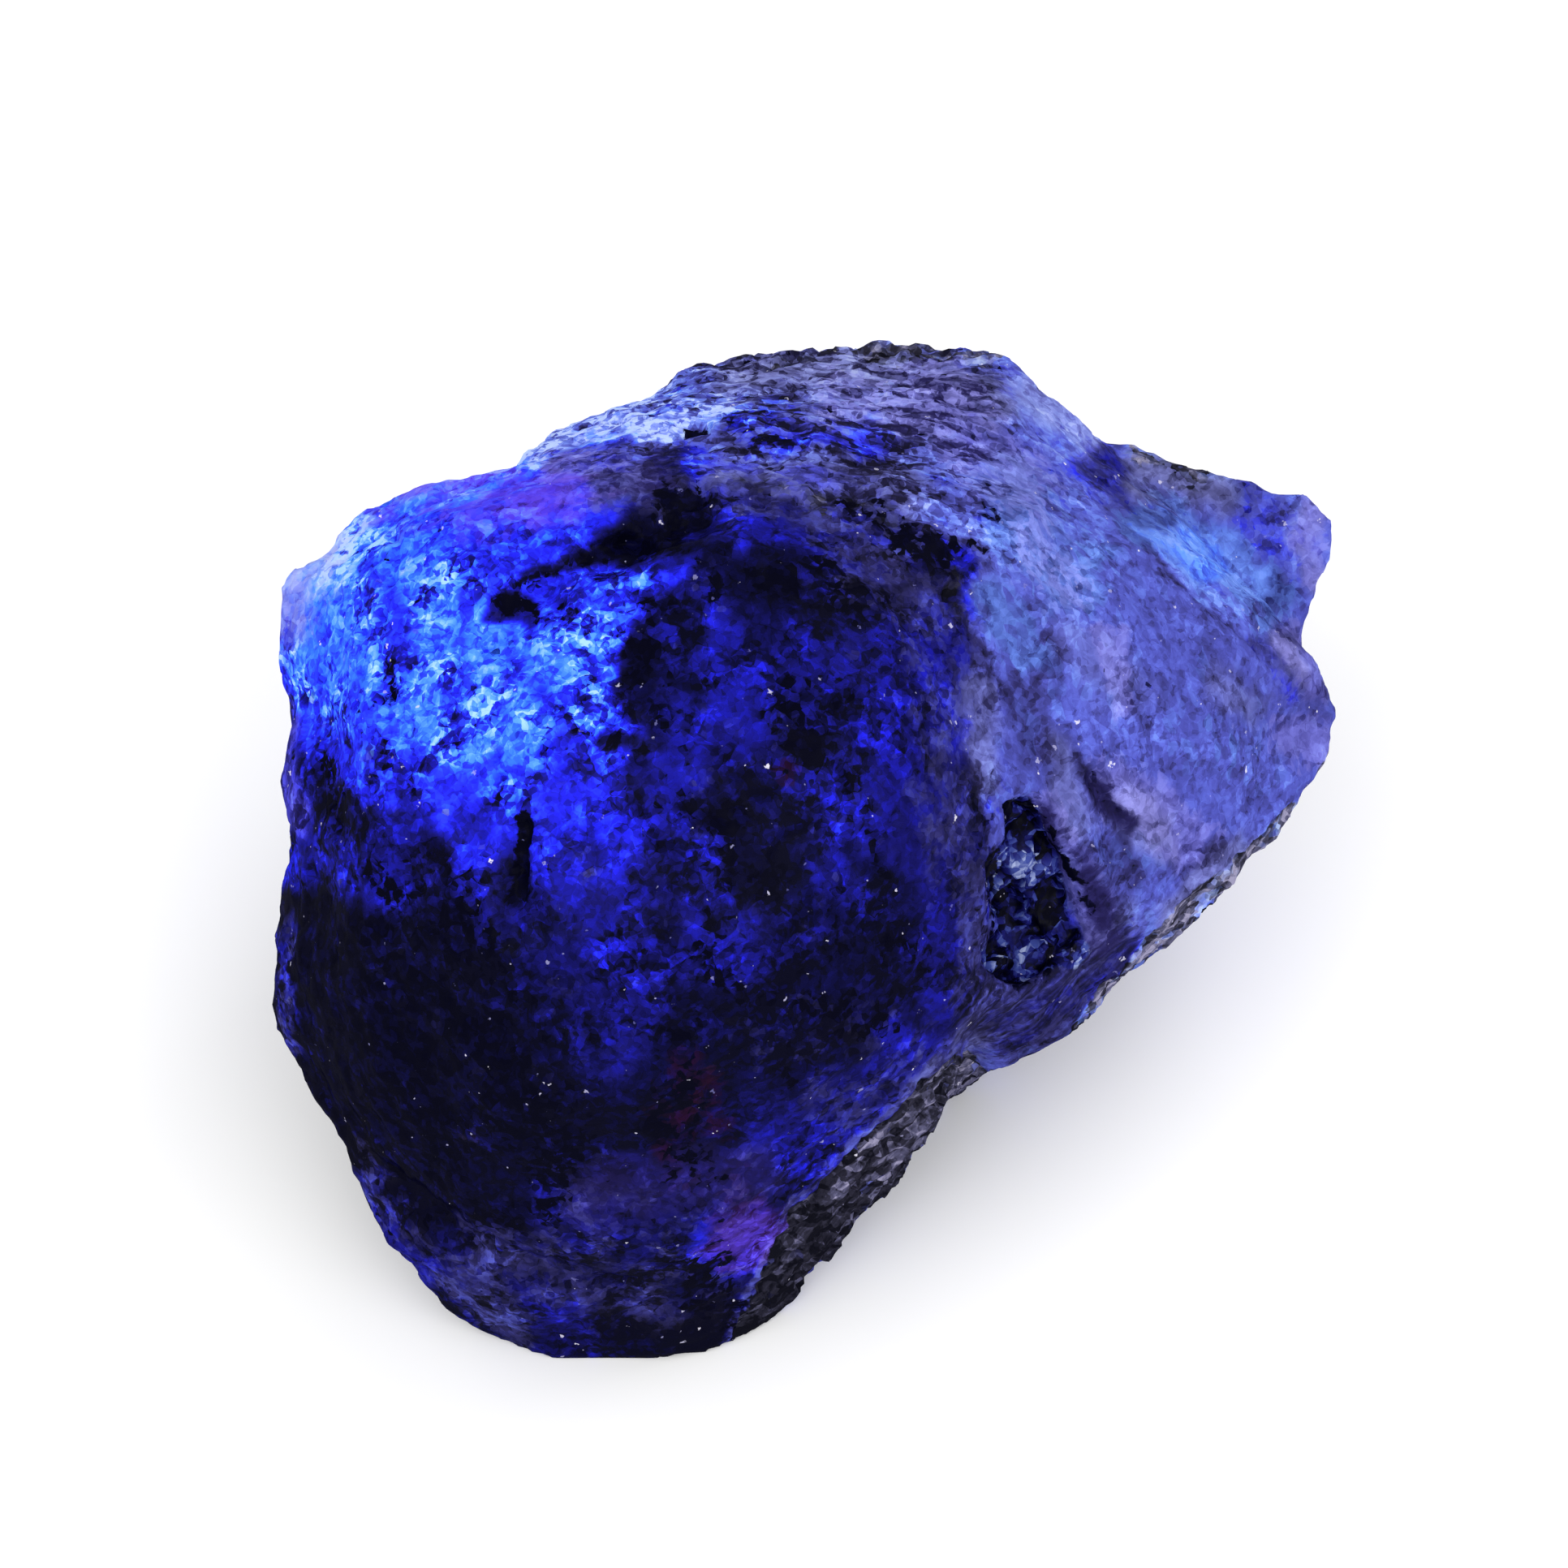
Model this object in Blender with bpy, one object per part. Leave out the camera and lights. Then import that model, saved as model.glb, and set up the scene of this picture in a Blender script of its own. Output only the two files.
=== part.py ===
"""A rough sapphire: one lump of blue corundum, broken from the rock and worn at its edges.

The lump is drawn face-on in a drawing plane, in millimetres: across to the right, up the face, and out of it.
The plane leans back by LEAN and the lump is set down on its broken flat, in metres, with +Z up.
It is one stone, so it is one solid: blocks with flat faces are joined, hollows are broken out of them,
and the joined block is then worn, dented, scalloped and layered as one surface.
"""

import math

import bmesh
import bpy
from mathutils import Matrix, Vector, noise

MM = 0.001

# How the drawing plane stands: it is tipped up from lying flat by LEAN, and its origin is at SEAT over the floor.
LEAN = math.radians(40)
SEAT = Vector((-1.5, -4.7, 26.5))

# Mesh sizes and wear, in millimetres where they are lengths.
VOXEL = 0.75
WEAR_SHARE = 0.5
WEAR_PASSES = 4
ROUND_PASSES = 14
TRIANGLES = 9400
SNAP = 0.2

# Where the wandering of the scallops starts from, so that the stone is the same each time.
SEED = 7

# Finish: the colour as linear light, and the roughness.
BLUE = (0.035, 0.040, 0.300)
ROUGHNESS = 0.5

# Corners of the blocks as (across, up, out). Each block is the tight skin round its corners.
CREST = [(-16.0, 18.0, -1), (-10.5, 19.2, 2), (-4.5, 18.8, 4), (1.5, 17.8, 5), (6.5, 16.0, 6), (10.0, 12.5, 7)]
BLUNT_EDGE = [(11.5, 7.5, 8), (12.0, 0.5, 9), (12.0, -6.0, 8), (11.5, -13.0, 5)]
DOME = CREST + BLUNT_EDGE + [
    # the left bulge and the brow above it
    (-30.0, 8.2, -2), (-29.0, 13.2, -2), (-26.2, 15.6, -3), (-21.8, 17.4, -3),
    # the lower right edge, and the side of the stone below it
    (9.0, -16.5, 3), (5.0, -20.0, 2), (1.5, -23.5, 0), (-2.2, -29.0, -4),
    (3.7, -26.9, -8), (6.7, -24.2, -9), (8.3, -17.8, -9),
    # the foot, and the left side
    (-3.7, -33.3, -8), (-5.5, -35.0, -9), (-12.0, -34.9, -9), (-15.9, -32.8, -8), (-19.3, -30.7, -7),
    (-22.9, -26.3, -5), (-24.2, -22.6, -4), (-27.5, -18.4, -4), (-29.8, -13.6, -4), (-28.8, -4.0, -5),
    # the round front
    (-23.0, 9.0, 8), (-16.5, 12.5, 9), (-9.0, 14.0, 10), (-3.0, 14.0, 11), (3.5, 11.5, 12), (7.0, 7.5, 12),
    (-22.0, 0.5, 12), (-14.0, 3.0, 15), (-6.5, 3.5, 16), (1.5, 3.0, 16), (7.0, -1.5, 14),
    (-24.0, -8.0, 9), (-16.0, -8.0, 15), (-7.0, -8.0, 17.5), (1.5, -8.0, 16), (7.0, -9.5, 12),
    (-22.0, -16.5, 7), (-14.5, -18.0, 12), (-6.5, -17.5, 13.5), (1.5, -16.0, 11),
    (-18.0, -24.0, 4.5), (-11.0, -27.0, 4), (-5.0, -26.0, 4), (-0.5, -21.5, 6),
    # the back of the block
    (-23.0, 4.0, -16), (-22.0, -12.0, -16), (-16.0, -20.0, -14), (-5.0, -24.0, -14), (5.0, -15.0, -16),
]
SHOULDER = CREST + BLUNT_EDGE + [
    # the far edge of the top, left to right
    (-13.5, 20.7, -9), (-8.4, 22.4, -13), (-4.5, 24.9, -16), (-1.5, 25.9, -17), (1.5, 24.4, -17),
    (6.5, 25.9, -16), (9.5, 26.7, -15), (12.8, 25.4, -13), (13.4, 20.8, -10), (14.7, 18.9, -8),
    # the ridge that runs down to the right corner
    (20.0, 15.0, -3), (24.0, 11.5, -4), (30.0, 8.0, -7),
    # the right corner and the lower right rim
    (31.8, 7.0, -8), (32.8, 4.2, -9), (32.7, 1.4, -9), (30.6, -2.2, -8), (23.3, -4.5, -7),
    (19.9, -9.5, -6), (17.7, -13.8, -6), (12.2, -16.8, -6), (10.6, -16.4, -12), (17.4, -13.0, -12),
    # the sloping right face
    (13.0, 16.5, 3), (16.5, 8.5, 5), (18.5, 2.0, 4.5), (20.0, -3.0, 1),
    # the back
    (-8.0, 18.0, -26), (1.5, 18.5, -28), (11.5, 18.0, -26), (21.5, 10.5, -24), (26.0, 3.0, -22),
    (18.5, -6.5, -20), (6.5, -6.5, -27), (-3.5, 3.5, -29), (-18.0, 8.0, -20), (-14.0, -8.0, -24),
]
KNOB = [
    (16.0, 20.5, -14), (20.7, 19.8, -13), (23.0, 18.7, -13), (26.0, 17.2, -13), (28.2, 18.1, -12), (31.0, 17.8, -11),
    (32.7, 15.5, -11), (32.3, 13.2, -11), (32.0, 10.3, -12), (30.0, 8.2, -12),
    (14.0, 12.0, -12), (20.0, 5.0, -12), (21.5, 15.5, -24), (28.5, 13.0, -24), (31.0, 10.5, -20),
]
# The broken mass below and behind, which no drawing of the front shows. Its corners are (across, back, height),
# measured from the middle of the stone on the floor.
BODY = [
    # the broken flat it rests on, sunk so that the floor trims it level
    (-20.5, -16.0, -5), (-16.0, -21.0, -5), (-7.5, -23.3, -5), (-3.0, -19.5, -5), (0.5, -9.0, -5),
    (10.5, 2.5, -5), (15.5, 9.5, -5), (11.0, 17.0, -5), (-2.0, 18.5, -5), (-14.0, 14.0, -5), (-20.5, 3.0, -5),
    # the sides and the back
    (-25.5, -14.0, 9), (-27.0, 2.0, 10), (-24.0, 13.0, 11), (-28.0, 4.5, 23), (-22.5, 15.0, 24),
    (-12.0, 22.0, 13), (-9.0, 22.5, 27), (0.0, 26.5, 12), (9.0, 26.0, 17), (9.0, 25.5, 27), (19.0, 21.0, 12),
    (28.5, 16.0, 17), (30.3, 10.5, 21.5), (28.5, 9.5, 16), (26.0, 7.5, 10.5), (18.5, 1.5, 8), (3.0, -7.0, 5),
    (27.5, 1.5, 22), (0.0, 8.0, 30), (-12.0, 4.0, 28),
]
# A hollow broken out of the right side, down to (12, -9): its mouth stands proud of the face, its floor lies inside.
PIT = [
    (14.3, 1.0, 12), (10.4, -3.5, 14), (10.0, -12.0, 12), (14.5, -13.0, 10), (18.6, -10.4, 8), (19.6, -7.6, 8),
    (16.2, -1.6, 10), (13.8, -2.0, 4.6), (12.4, -6.0, 2.6), (13.0, -10.2, 0.8), (16.8, -8.0, 0.4),
]

# Dents and lumps, worn in as a hand would: (from, to, radius, depth), a negative depth for a lump.
DENTS = [
    ((-4.8, 15.0, 9), (-9.0, 13.2, 10), 1.7, 1.3),      # the crease under the brow, in three lengths
    ((-9.0, 13.2, 10), (-13.5, 11.2, 10), 1.4, 0.9),
    ((-13.5, 11.2, 10), (-15.5, 8.5, 12), 1.6, 0.8),
    ((-10.5, 17.0, 6), (-18.0, 14.5, 5), 2.8, -0.8),    # the brow itself
    ((-14.8, -2.6, 16), (-14.8, -7.6, 16), 0.9, 1.0),   # a short upright crack
    ((-28.6, 5.2, 0), (-25.0, 1.6, 8), 1.8, 0.7),       # the step below the left bulge
    ((-27.5, 3.0, 4), (-26.5, -8.0, 5), 2.6, 0.6),
    ((-23.5, -22.5, 0), (-18.0, -27.0, 2), 1.5, 0.7),   # the break along the top of the foot
    ((-18.0, -27.0, 2), (-10.0, -29.0, 1), 1.5, 0.6),
    ((13.6, 6.0, 8), (15.5, 0.5, 8), 1.6, 0.8),         # the trough beside the blunt edge
    ((15.5, 1.4, 8), (19.3, -3.8, 3), 1.1, 1.3),        # a split below it
    ((16.8, -1.6, 5), (19.0, -7.0, 2), 1.3, -0.7),      # the fin between the split and the pit
    ((16.5, 18.6, -10), (22.5, 13.2, -10), 1.4, 0.9),   # the crease where the ridge drops to the knob
    ((22.5, 13.2, -10), (28.6, 9.2, -11), 1.3, 0.5),
    ((13.0, -3.0, 4), (14.8, -9.6, 1), 0.9, -1.1),      # a rib standing in the pit
    ((-28.8, 3.2, -2), (-28.6, -3.5, -2), 2.4, 1.1),    # the waist of the left side
    ((26.0, -5.5, -8), (19.8, -10.8, -8), 2.8, 1.0),    # the hollow along the lower right edge
    ((1.2, 25.8, -17), (4.2, 25.6, -17), 2.0, 0.6),     # a dip in the far edge
]

# The round front, as directions in the drawing plane and how far along each it fades in.
FRONT = [
    ((0, 0, 1), -6.0, 3.0),
    ((0, -1, 0), -19.5, -15.0),
    ((-1, 0, 0), -13.5, -9.5),
    ((0, 1, 0), -30.0, -25.0),
    ((-0.55, 0.41, 1), -10.8, -7.8),
]
# Where the hidden back begins, out of the drawing plane: the broad flakes fade in from the first to the second.
BACK = (-11.0, -19.0)

# Weathering of the whole surface, in millimetres: what is taken off all round, the wavelength and height of
# the lumps and of the grain, the cell and depth of the small scallops and of the broad ones behind, and the
# thickness and depth of the layers.
TRIM = 0.4
LUMP_WAVE, LUMP_HEIGHT = 10.0, 1.1
GRAIN_WAVE, GRAIN_HEIGHT = 2.6, 0.25
CHIPS = (5.0, 0.8)
FLAKES = (12.0, 3.0)
LAYER_STEP, LAYER_DEPTH = 2.6, 0.75


def hull(name, corners):
    """A block with flat faces: the tight skin round its corners."""
    bm = bmesh.new()
    for corner in corners:
        bm.verts.new(corner)
    made = bmesh.ops.convex_hull(bm, input=bm.verts)
    spare = {v for v in made["geom_interior"] + made["geom_unused"] if isinstance(v, bmesh.types.BMVert)}
    bmesh.ops.delete(bm, geom=list(spare), context="VERTS")
    bmesh.ops.recalc_face_normals(bm, faces=bm.faces)
    mesh = bpy.data.meshes.new(name)
    bm.to_mesh(mesh)
    bm.free()
    block = bpy.data.objects.new(name, mesh)
    bpy.context.scene.collection.objects.link(block)
    return block


def combine(stone, other, operation):
    """Joins the other block to the stone, or breaks it out of the stone."""
    other.hide_render = True
    other.display_type = "WIRE"
    boolean = stone.modifiers.new(operation.title() + " " + other.name, "BOOLEAN")
    boolean.operation = operation
    boolean.object = other


def drawn(corners):
    """Corners measured on the floor, put into the drawing plane."""
    turn = Matrix.Rotation(-LEAN, 3, "X")
    return [turn @ (Vector(corner) - SEAT) for corner in corners]


def settle(stone):
    """Swaps the stone's mesh for what its modifiers make of it, and drops the blocks."""
    graph = bpy.context.evaluated_depsgraph_get()
    mesh = bpy.data.meshes.new_from_object(stone.evaluated_get(graph))
    stone.modifiers.clear()
    stone.data = mesh
    for obj in list(bpy.data.objects):
        if obj is not stone:
            bpy.data.objects.remove(obj)


def smoothstep(low, high, x):
    t = min(1.0, max(0.0, (x - low) / (high - low)))
    return t * t * (3 - 2 * t)


def on_front(place):
    """1 on the round front, falling to 0 at its edges."""
    share = 1.0
    for direction, low, high in FRONT:
        share *= smoothstep(low, high, place.dot(Vector(direction)))
    return share


def round_front(stone):
    """Wears the flats off the round front, and leaves its edges."""
    group = stone.vertex_groups.new(name="front")
    for v in stone.data.vertices:
        group.add([v.index], on_front(v.co), "REPLACE")
    soft = stone.modifiers.new("Round front", "SMOOTH")
    soft.factor = WEAR_SHARE
    soft.iterations = ROUND_PASSES
    soft.vertex_group = group.name
    settle(stone)


def gap(place, start, end):
    """Distance from the place to the line between two points."""
    line = end - start
    t = max(0.0, min(1.0, (place - start).dot(line) / line.length_squared))
    return (place - start - t * line).length


def dent(place):
    """How far the hand-placed dents and lumps push the surface in at a place."""
    push = 0.0
    for start, end, radius, depth in DENTS:
        near = gap(place, Vector(start), Vector(end)) / radius
        push += depth * math.exp(-near * near * 1.2)
    return push


def chips(place, cell, depth):
    """Shallow cups that meet in ridges, as where flakes have broken away."""
    warped = place + 0.35 * cell * noise.noise_vector(place / cell)
    near = noise.voronoi(warped / cell)[0]
    return depth * (near[0] ** 1.5 - 0.35)


def layers(place):
    """Uneven steps along the stone's layers, which lie nearly along the drawing plane."""
    along = place.z + 0.15 * place.x + 2.6 * noise.noise(place / 11.0)
    t = along / LAYER_STEP
    saw = t - math.floor(t)
    patch = smoothstep(-0.15, 0.35, noise.noise(place / 8.0 + Vector((5.0, 1.0, 9.0))))
    return LAYER_DEPTH * patch * (abs(saw - 0.3) - 0.3)


def weather(stone):
    """Wears the lumps, the scallops, the layers and the hand-placed dents into the surface."""
    mesh = stone.data
    moves = []
    for v in mesh.vertices:
        place = v.co.copy()
        normal = v.normal.copy()
        front = on_front(place)
        side = 1.0 - smoothstep(0.35, 0.8, abs(normal.z))
        behind = smoothstep(*BACK, place.z)
        push = -TRIM - dent(place)
        push += LUMP_HEIGHT * noise.noise(place / LUMP_WAVE + Vector((3.1, 7.7, 1.9)))
        push += GRAIN_HEIGHT * noise.noise(place / GRAIN_WAVE)
        push += chips(place, *CHIPS) * (1.0 - 0.85 * front)
        push += chips(place, *FLAKES) * behind
        push += layers(place) * side
        moves.append(place + normal * push)
    for v, moved in zip(mesh.vertices, moves):
        v.co = moved
    mesh.update()


def drop_crumbs(bm):
    """Removes the loose slivers that thinning leaves, so that one body is left."""
    bodies = []
    unseen = set(bm.verts)
    while unseen:
        body = set()
        front = [next(iter(unseen))]
        while front:
            vert = front.pop()
            if vert not in body:
                body.add(vert)
                front.extend(edge.other_vert(vert) for edge in vert.link_edges)
        unseen -= body
        bodies.append(body)
    bodies.sort(key=len)
    for body in bodies[:-1]:
        bmesh.ops.delete(bm, geom=list(body), context="VERTS")


def set_down(stone):
    """Stands the stone on the floor in metres, thins its mesh, and cuts its broken flat level."""
    mesh = stone.data
    mesh.transform(Matrix.Scale(MM, 4) @ Matrix.Translation(SEAT) @ Matrix.Rotation(LEAN, 4, "X"))
    thin = stone.modifiers.new("Facets", "DECIMATE")
    thin.ratio = TRIANGLES / sum(len(face.vertices) - 2 for face in mesh.polygons)
    settle(stone)
    bm = bmesh.new()
    bm.from_mesh(stone.data)
    bmesh.ops.bisect_plane(
        bm, geom=bm.verts[:] + bm.edges[:] + bm.faces[:], dist=SNAP * MM, plane_co=(0, 0, 0), plane_no=(0, 0, 1),
        use_snap_center=True, clear_inner=True,
    )
    bmesh.ops.holes_fill(bm, edges=[edge for edge in bm.edges if edge.is_boundary], sides=0)
    bmesh.ops.triangulate(bm, faces=[face for face in bm.faces if len(face.verts) > 3])
    drop_crumbs(bm)
    bmesh.ops.recalc_face_normals(bm, faces=bm.faces)
    bm.to_mesh(stone.data)
    bm.free()


def finish(stone):
    """Gives the stone its colour: deep blue, neither polished nor dusty."""
    blue = bpy.data.materials.new("raw sapphire")
    blue.use_nodes = True
    shader = blue.node_tree.nodes["Principled BSDF"]
    shader.inputs["Base Color"].default_value = (*BLUE, 1.0)
    shader.inputs["Roughness"].default_value = ROUGHNESS
    shader.inputs["Metallic"].default_value = 0.0
    stone.data.materials.clear()
    stone.data.materials.append(blue)


def main():
    for obj in list(bpy.data.objects):
        bpy.data.objects.remove(obj)
    noise.seed_set(SEED)
    stone = hull("sapphire", DOME)
    combine(stone, hull("shoulder", SHOULDER), "UNION")
    combine(stone, hull("knob", KNOB), "UNION")
    combine(stone, hull("body", drawn(BODY)), "UNION")
    combine(stone, hull("pit", PIT), "DIFFERENCE")
    remesh = stone.modifiers.new("Even mesh", "REMESH")
    remesh.mode = "VOXEL"
    remesh.voxel_size = VOXEL
    wear = stone.modifiers.new("Wear", "SMOOTH")
    wear.factor = WEAR_SHARE
    wear.iterations = WEAR_PASSES
    settle(stone)
    round_front(stone)
    weather(stone)
    set_down(stone)
    finish(stone)


main()
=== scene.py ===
# %% [markdown]
# # A rough sapphire
# This lesson dresses one lump of blue corundum, about the size of a child's fist. The imported model gives its
# shape and its place. What is left to make here is what the eye reads as stone: the sugary grain, the broken
# and layered edges, the black mica that hangs on to it, and on one side a painted glow, where light shone
# through the blue.
#
# We start by loading the imported model as a fixed frame. It is looked at and copied here, but never changed.

# %% Load the frame
import math

import bpy
import numpy as np
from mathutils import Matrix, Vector, noise


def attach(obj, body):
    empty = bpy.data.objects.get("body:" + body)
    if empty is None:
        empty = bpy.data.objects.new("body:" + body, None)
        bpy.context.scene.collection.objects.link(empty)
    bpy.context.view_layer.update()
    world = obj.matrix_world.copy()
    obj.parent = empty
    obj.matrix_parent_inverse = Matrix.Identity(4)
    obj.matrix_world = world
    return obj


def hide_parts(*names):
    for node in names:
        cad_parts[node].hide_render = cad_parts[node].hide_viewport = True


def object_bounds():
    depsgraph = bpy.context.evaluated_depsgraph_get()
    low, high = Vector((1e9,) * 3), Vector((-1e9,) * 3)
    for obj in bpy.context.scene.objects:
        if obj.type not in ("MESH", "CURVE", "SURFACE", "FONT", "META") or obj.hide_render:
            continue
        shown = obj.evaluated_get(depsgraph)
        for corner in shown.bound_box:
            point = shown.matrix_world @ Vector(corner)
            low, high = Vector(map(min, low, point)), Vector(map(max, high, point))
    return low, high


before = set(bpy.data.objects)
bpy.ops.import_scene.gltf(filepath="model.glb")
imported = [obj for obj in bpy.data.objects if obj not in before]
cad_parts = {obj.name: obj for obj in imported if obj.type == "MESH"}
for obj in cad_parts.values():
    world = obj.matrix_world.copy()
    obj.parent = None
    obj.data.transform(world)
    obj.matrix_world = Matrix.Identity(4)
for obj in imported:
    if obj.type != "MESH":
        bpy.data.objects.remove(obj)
cad_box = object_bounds()
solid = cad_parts["sapphire"]
print("CAD box in mm:", [[round(1000 * c, 1) for c in corner] for corner in cad_box])

# %% [markdown]
# ## The camera
# The stone was drawn face-on in a plane that leans back by 40 degrees, so the camera looks straight at that
# plane from 320 mm away. Working it out from the drawing plane, rather than turning the camera by eye, means
# that a place on the drawing is also a place in the picture. A long lens keeps the far side from shrinking.

# %% Camera
MM = 0.001
LEAN = math.radians(40)
SEAT = Vector((-1.5, -4.7, 26.5))  # the drawing's origin, in mm over the floor
REACH = 320.0  # from the camera to the drawing's origin, in mm
HALF_WIDTH = 44.1  # half of what the picture takes in there, in mm
SENSOR = 36.0  # width of the camera's sensor, in mm
NEAREST, FARTHEST = 0.02, 20.0  # where the camera's sight starts and ends, in metres

scene = bpy.context.scene
toward_camera = Vector((0.0, -math.sin(LEAN), math.cos(LEAN)))

camera_data = bpy.data.cameras.new("camera")
camera_data.sensor_width = SENSOR
camera_data.lens = SENSOR / 2 * REACH / HALF_WIDTH
camera_data.clip_start, camera_data.clip_end = NEAREST, FARTHEST
camera = bpy.data.objects.new("camera", camera_data)
scene.collection.objects.link(camera)
camera.location = (SEAT + toward_camera * REACH) * MM
camera.rotation_mode = "QUATERNION"
camera.rotation_quaternion = (-toward_camera).to_track_quat("-Z", "Y")
scene.camera = camera
scene.view_settings.view_transform = "Standard"
print("camera at", tuple(round(c, 3) for c in camera.location), "lens", round(camera_data.lens, 1))

# %% [markdown]
# ## Floor and light
# A plain pale floor, wide enough to fill every view. It has no gloss, so it mirrors neither lamp nor stone.

# %% Floor
FLOOR_SIZE = 4.0  # in metres
FLOOR_DROP = 0.00005  # keeps the floor just clear of the flat that the stone rests on
FLOOR_PAINT = {"Base Color": (0.96, 0.96, 0.96, 1), "Roughness": 0.9, "Specular IOR Level": 0.0}


def put_away():
    """Deselects everything, so that the next operator acts only on what it is meant for."""
    bpy.ops.object.select_all(action="DESELECT")


put_away()
bpy.ops.mesh.primitive_plane_add(size=FLOOR_SIZE, location=(0.0, 0.0, -FLOOR_DROP))
floor = bpy.context.object
floor.name = "floor"
paint = bpy.data.materials.new("pale floor")
paint.use_nodes = True
for socket, value in FLOOR_PAINT.items():
    paint.node_tree.nodes["Principled BSDF"].inputs[socket].default_value = value
floor.data.materials.append(paint)
print("floor", FLOOR_SIZE, "m wide")

# %% [markdown]
# The light is plain and soft: a bright white sky, which no crevice can quite hide from, and three large
# lamps. Two fill in from the front, one on each side. The weakest stands behind on the right, so that the
# sloping right face stays the lightest.

# %% Sky and lamps
SKY = 0.82
AIM = Vector((0.0, 0.0, 0.02))  # the middle of the stone, in metres
LAMPS = {  # place and size in metres, and power in watts
    "key lamp": ((0.55, 0.35, 0.75), 0.6, 1.5),
    "left fill": ((-0.50, -0.60, 0.80), 0.8, 4.6),
    "right fill": ((0.45, -0.65, 0.70), 0.8, 3.8),
}

world = bpy.data.worlds.new("sky")
world.use_nodes = True
world.node_tree.nodes["Background"].inputs["Color"].default_value = (1.0, 1.0, 1.0, 1)
world.node_tree.nodes["Background"].inputs["Strength"].default_value = SKY
scene.world = world


def lamp(name, place, size, watts):
    """A square soft lamp that looks at the stone."""
    put_away()
    bpy.ops.object.light_add(type="AREA", location=place)
    light = bpy.context.object
    light.name = name
    light.data.size = size
    light.data.energy = watts
    light.rotation_mode = "QUATERNION"
    light.rotation_quaternion = (AIM - Vector(place)).to_track_quat("-Z", "Y")


for name, (place, size, watts) in LAMPS.items():
    lamp(name, place, size, watts)
print("sky", SKY, "and", len(LAMPS), "lamps")

# %% [markdown]
# ## A fine skin for the stone
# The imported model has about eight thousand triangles, enough for the lumps and hollows but far too few for
# grain. We could subdivide it, but its long thin triangles would stay long and thin. A Remesh modifier in
# voxel mode wraps it in small even squares instead, and a few passes of Smooth take away the corners that
# belong to the coarse mesh. The copy is merged first, because the frame's mesh is loose triangles.

# %% Copy, merge, remesh and smooth
SAME_PLACE = 0.01  # corners closer than this are merged, in mm
VOXEL = 0.40  # side of the small squares, in mm
SMOOTH_SHARE, SMOOTH_PASSES = 0.5, 9

stone = bpy.data.objects.new("sapphire_surface", solid.data.copy())
scene.collection.objects.link(stone)
stone.data.materials.clear()
put_away()
stone.select_set(True)
bpy.context.view_layer.objects.active = stone
bpy.ops.object.mode_set(mode="EDIT")
bpy.ops.mesh.select_all(action="SELECT")
bpy.ops.mesh.remove_doubles(threshold=SAME_PLACE * MM)
bpy.ops.object.mode_set(mode="OBJECT")

remesh = stone.modifiers.new("Even squares", "REMESH")
remesh.mode = "VOXEL"
remesh.voxel_size = VOXEL * MM
smooth = stone.modifiers.new("Worn corners", "SMOOTH")
smooth.factor = SMOOTH_SHARE
smooth.iterations = SMOOTH_PASSES
for modifier in (remesh, smooth):
    bpy.ops.object.modifier_apply(modifier=modifier.name)
print("the skin has", len(stone.data.polygons), "faces")

# %% [markdown]
# ## Places on the drawing
# Everything that follows is laid on with a brush, and a brush needs to know where it is. `look()` gives each
# point of the skin its place on the drawing, in mm: across, up, and how far out towards the eye. Near parts
# look larger than far ones, so across and up are stretched by the distance.

# %% Reading the skin
def read(name, what, size):
    """An attribute of the skin's points as a numpy array, with that many numbers for each point."""
    data = np.empty(len(what) * size, np.float32)
    what.foreach_get(name, data)
    return data.reshape(-1, size).astype(float)


def read_ends(edges):
    """The two points at the ends of each edge, as whole numbers."""
    ends = np.empty(len(edges) * 2, np.int32)
    edges.foreach_get("vertices", ends)
    return ends.reshape(-1, 2)


def look(points):
    """Places on the drawing, in mm: across, up and out."""
    off = points - np.array(SEAT)
    across = off[:, 0]
    up = off[:, 1] * math.cos(LEAN) + off[:, 2] * math.sin(LEAN)
    out = -off[:, 1] * math.sin(LEAN) + off[:, 2] * math.cos(LEAN)
    nearer = 1.0 - out / REACH
    return np.stack([across / nearer, up / nearer, out], 1)


points = read("co", stone.data.vertices, 3) / MM
normals = read("normal", stone.data.vertices, 3)
seen = look(points)
print("the drawing spans", seen.min(0).round(1), "to", seen.max(0).round(1))

# %% [markdown]
# `fade()` rises smoothly from 0 to 1 between two values, and `grain()` gives smooth random heights. A ruled
# edge would look painted, so the brush is made to wander by about a millimetre. Blender's noise vectors
# start from the clock unless they get a seed, and with one the stone comes out the same each time. A
# steadier copy of the places keeps a third of the wandering, for what has to stay narrow.

# %% Fades, grain and wandering places
SEED = 3
WANDER = ((3.2, 0.9), (1.1, 0.5))  # wavelength and reach in mm, coarse and fine
STEADY_SHARE = 0.3  # how much of the wandering the steadier places keep


def fade(low, high, value):
    """0 below low, 1 above high, and a smooth rise between them; low may be the larger."""
    t = np.clip((value - low) / (high - low), 0.0, 1.0)
    return t * t * (3.0 - 2.0 * t)


def grain(points, wave, octaves=3):
    """Smooth random heights of about -1 to 1, with lumps of that wavelength in mm."""
    return np.array([noise.fractal(Vector(p), 1.0, 2.0, octaves) for p in points / wave])


noise.seed_set(SEED)
wander = np.zeros(points.shape)
for wave, reach in WANDER:
    wander += np.array([noise.noise_vector(Vector(p)) for p in points / wave]) * reach
brush = seen[:, :2] + wander[:, :2]
steady = seen[:, :2] + STEADY_SHARE * wander[:, :2]
print("the brush wanders by up to", np.abs(wander).max().round(1), "mm")

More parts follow.
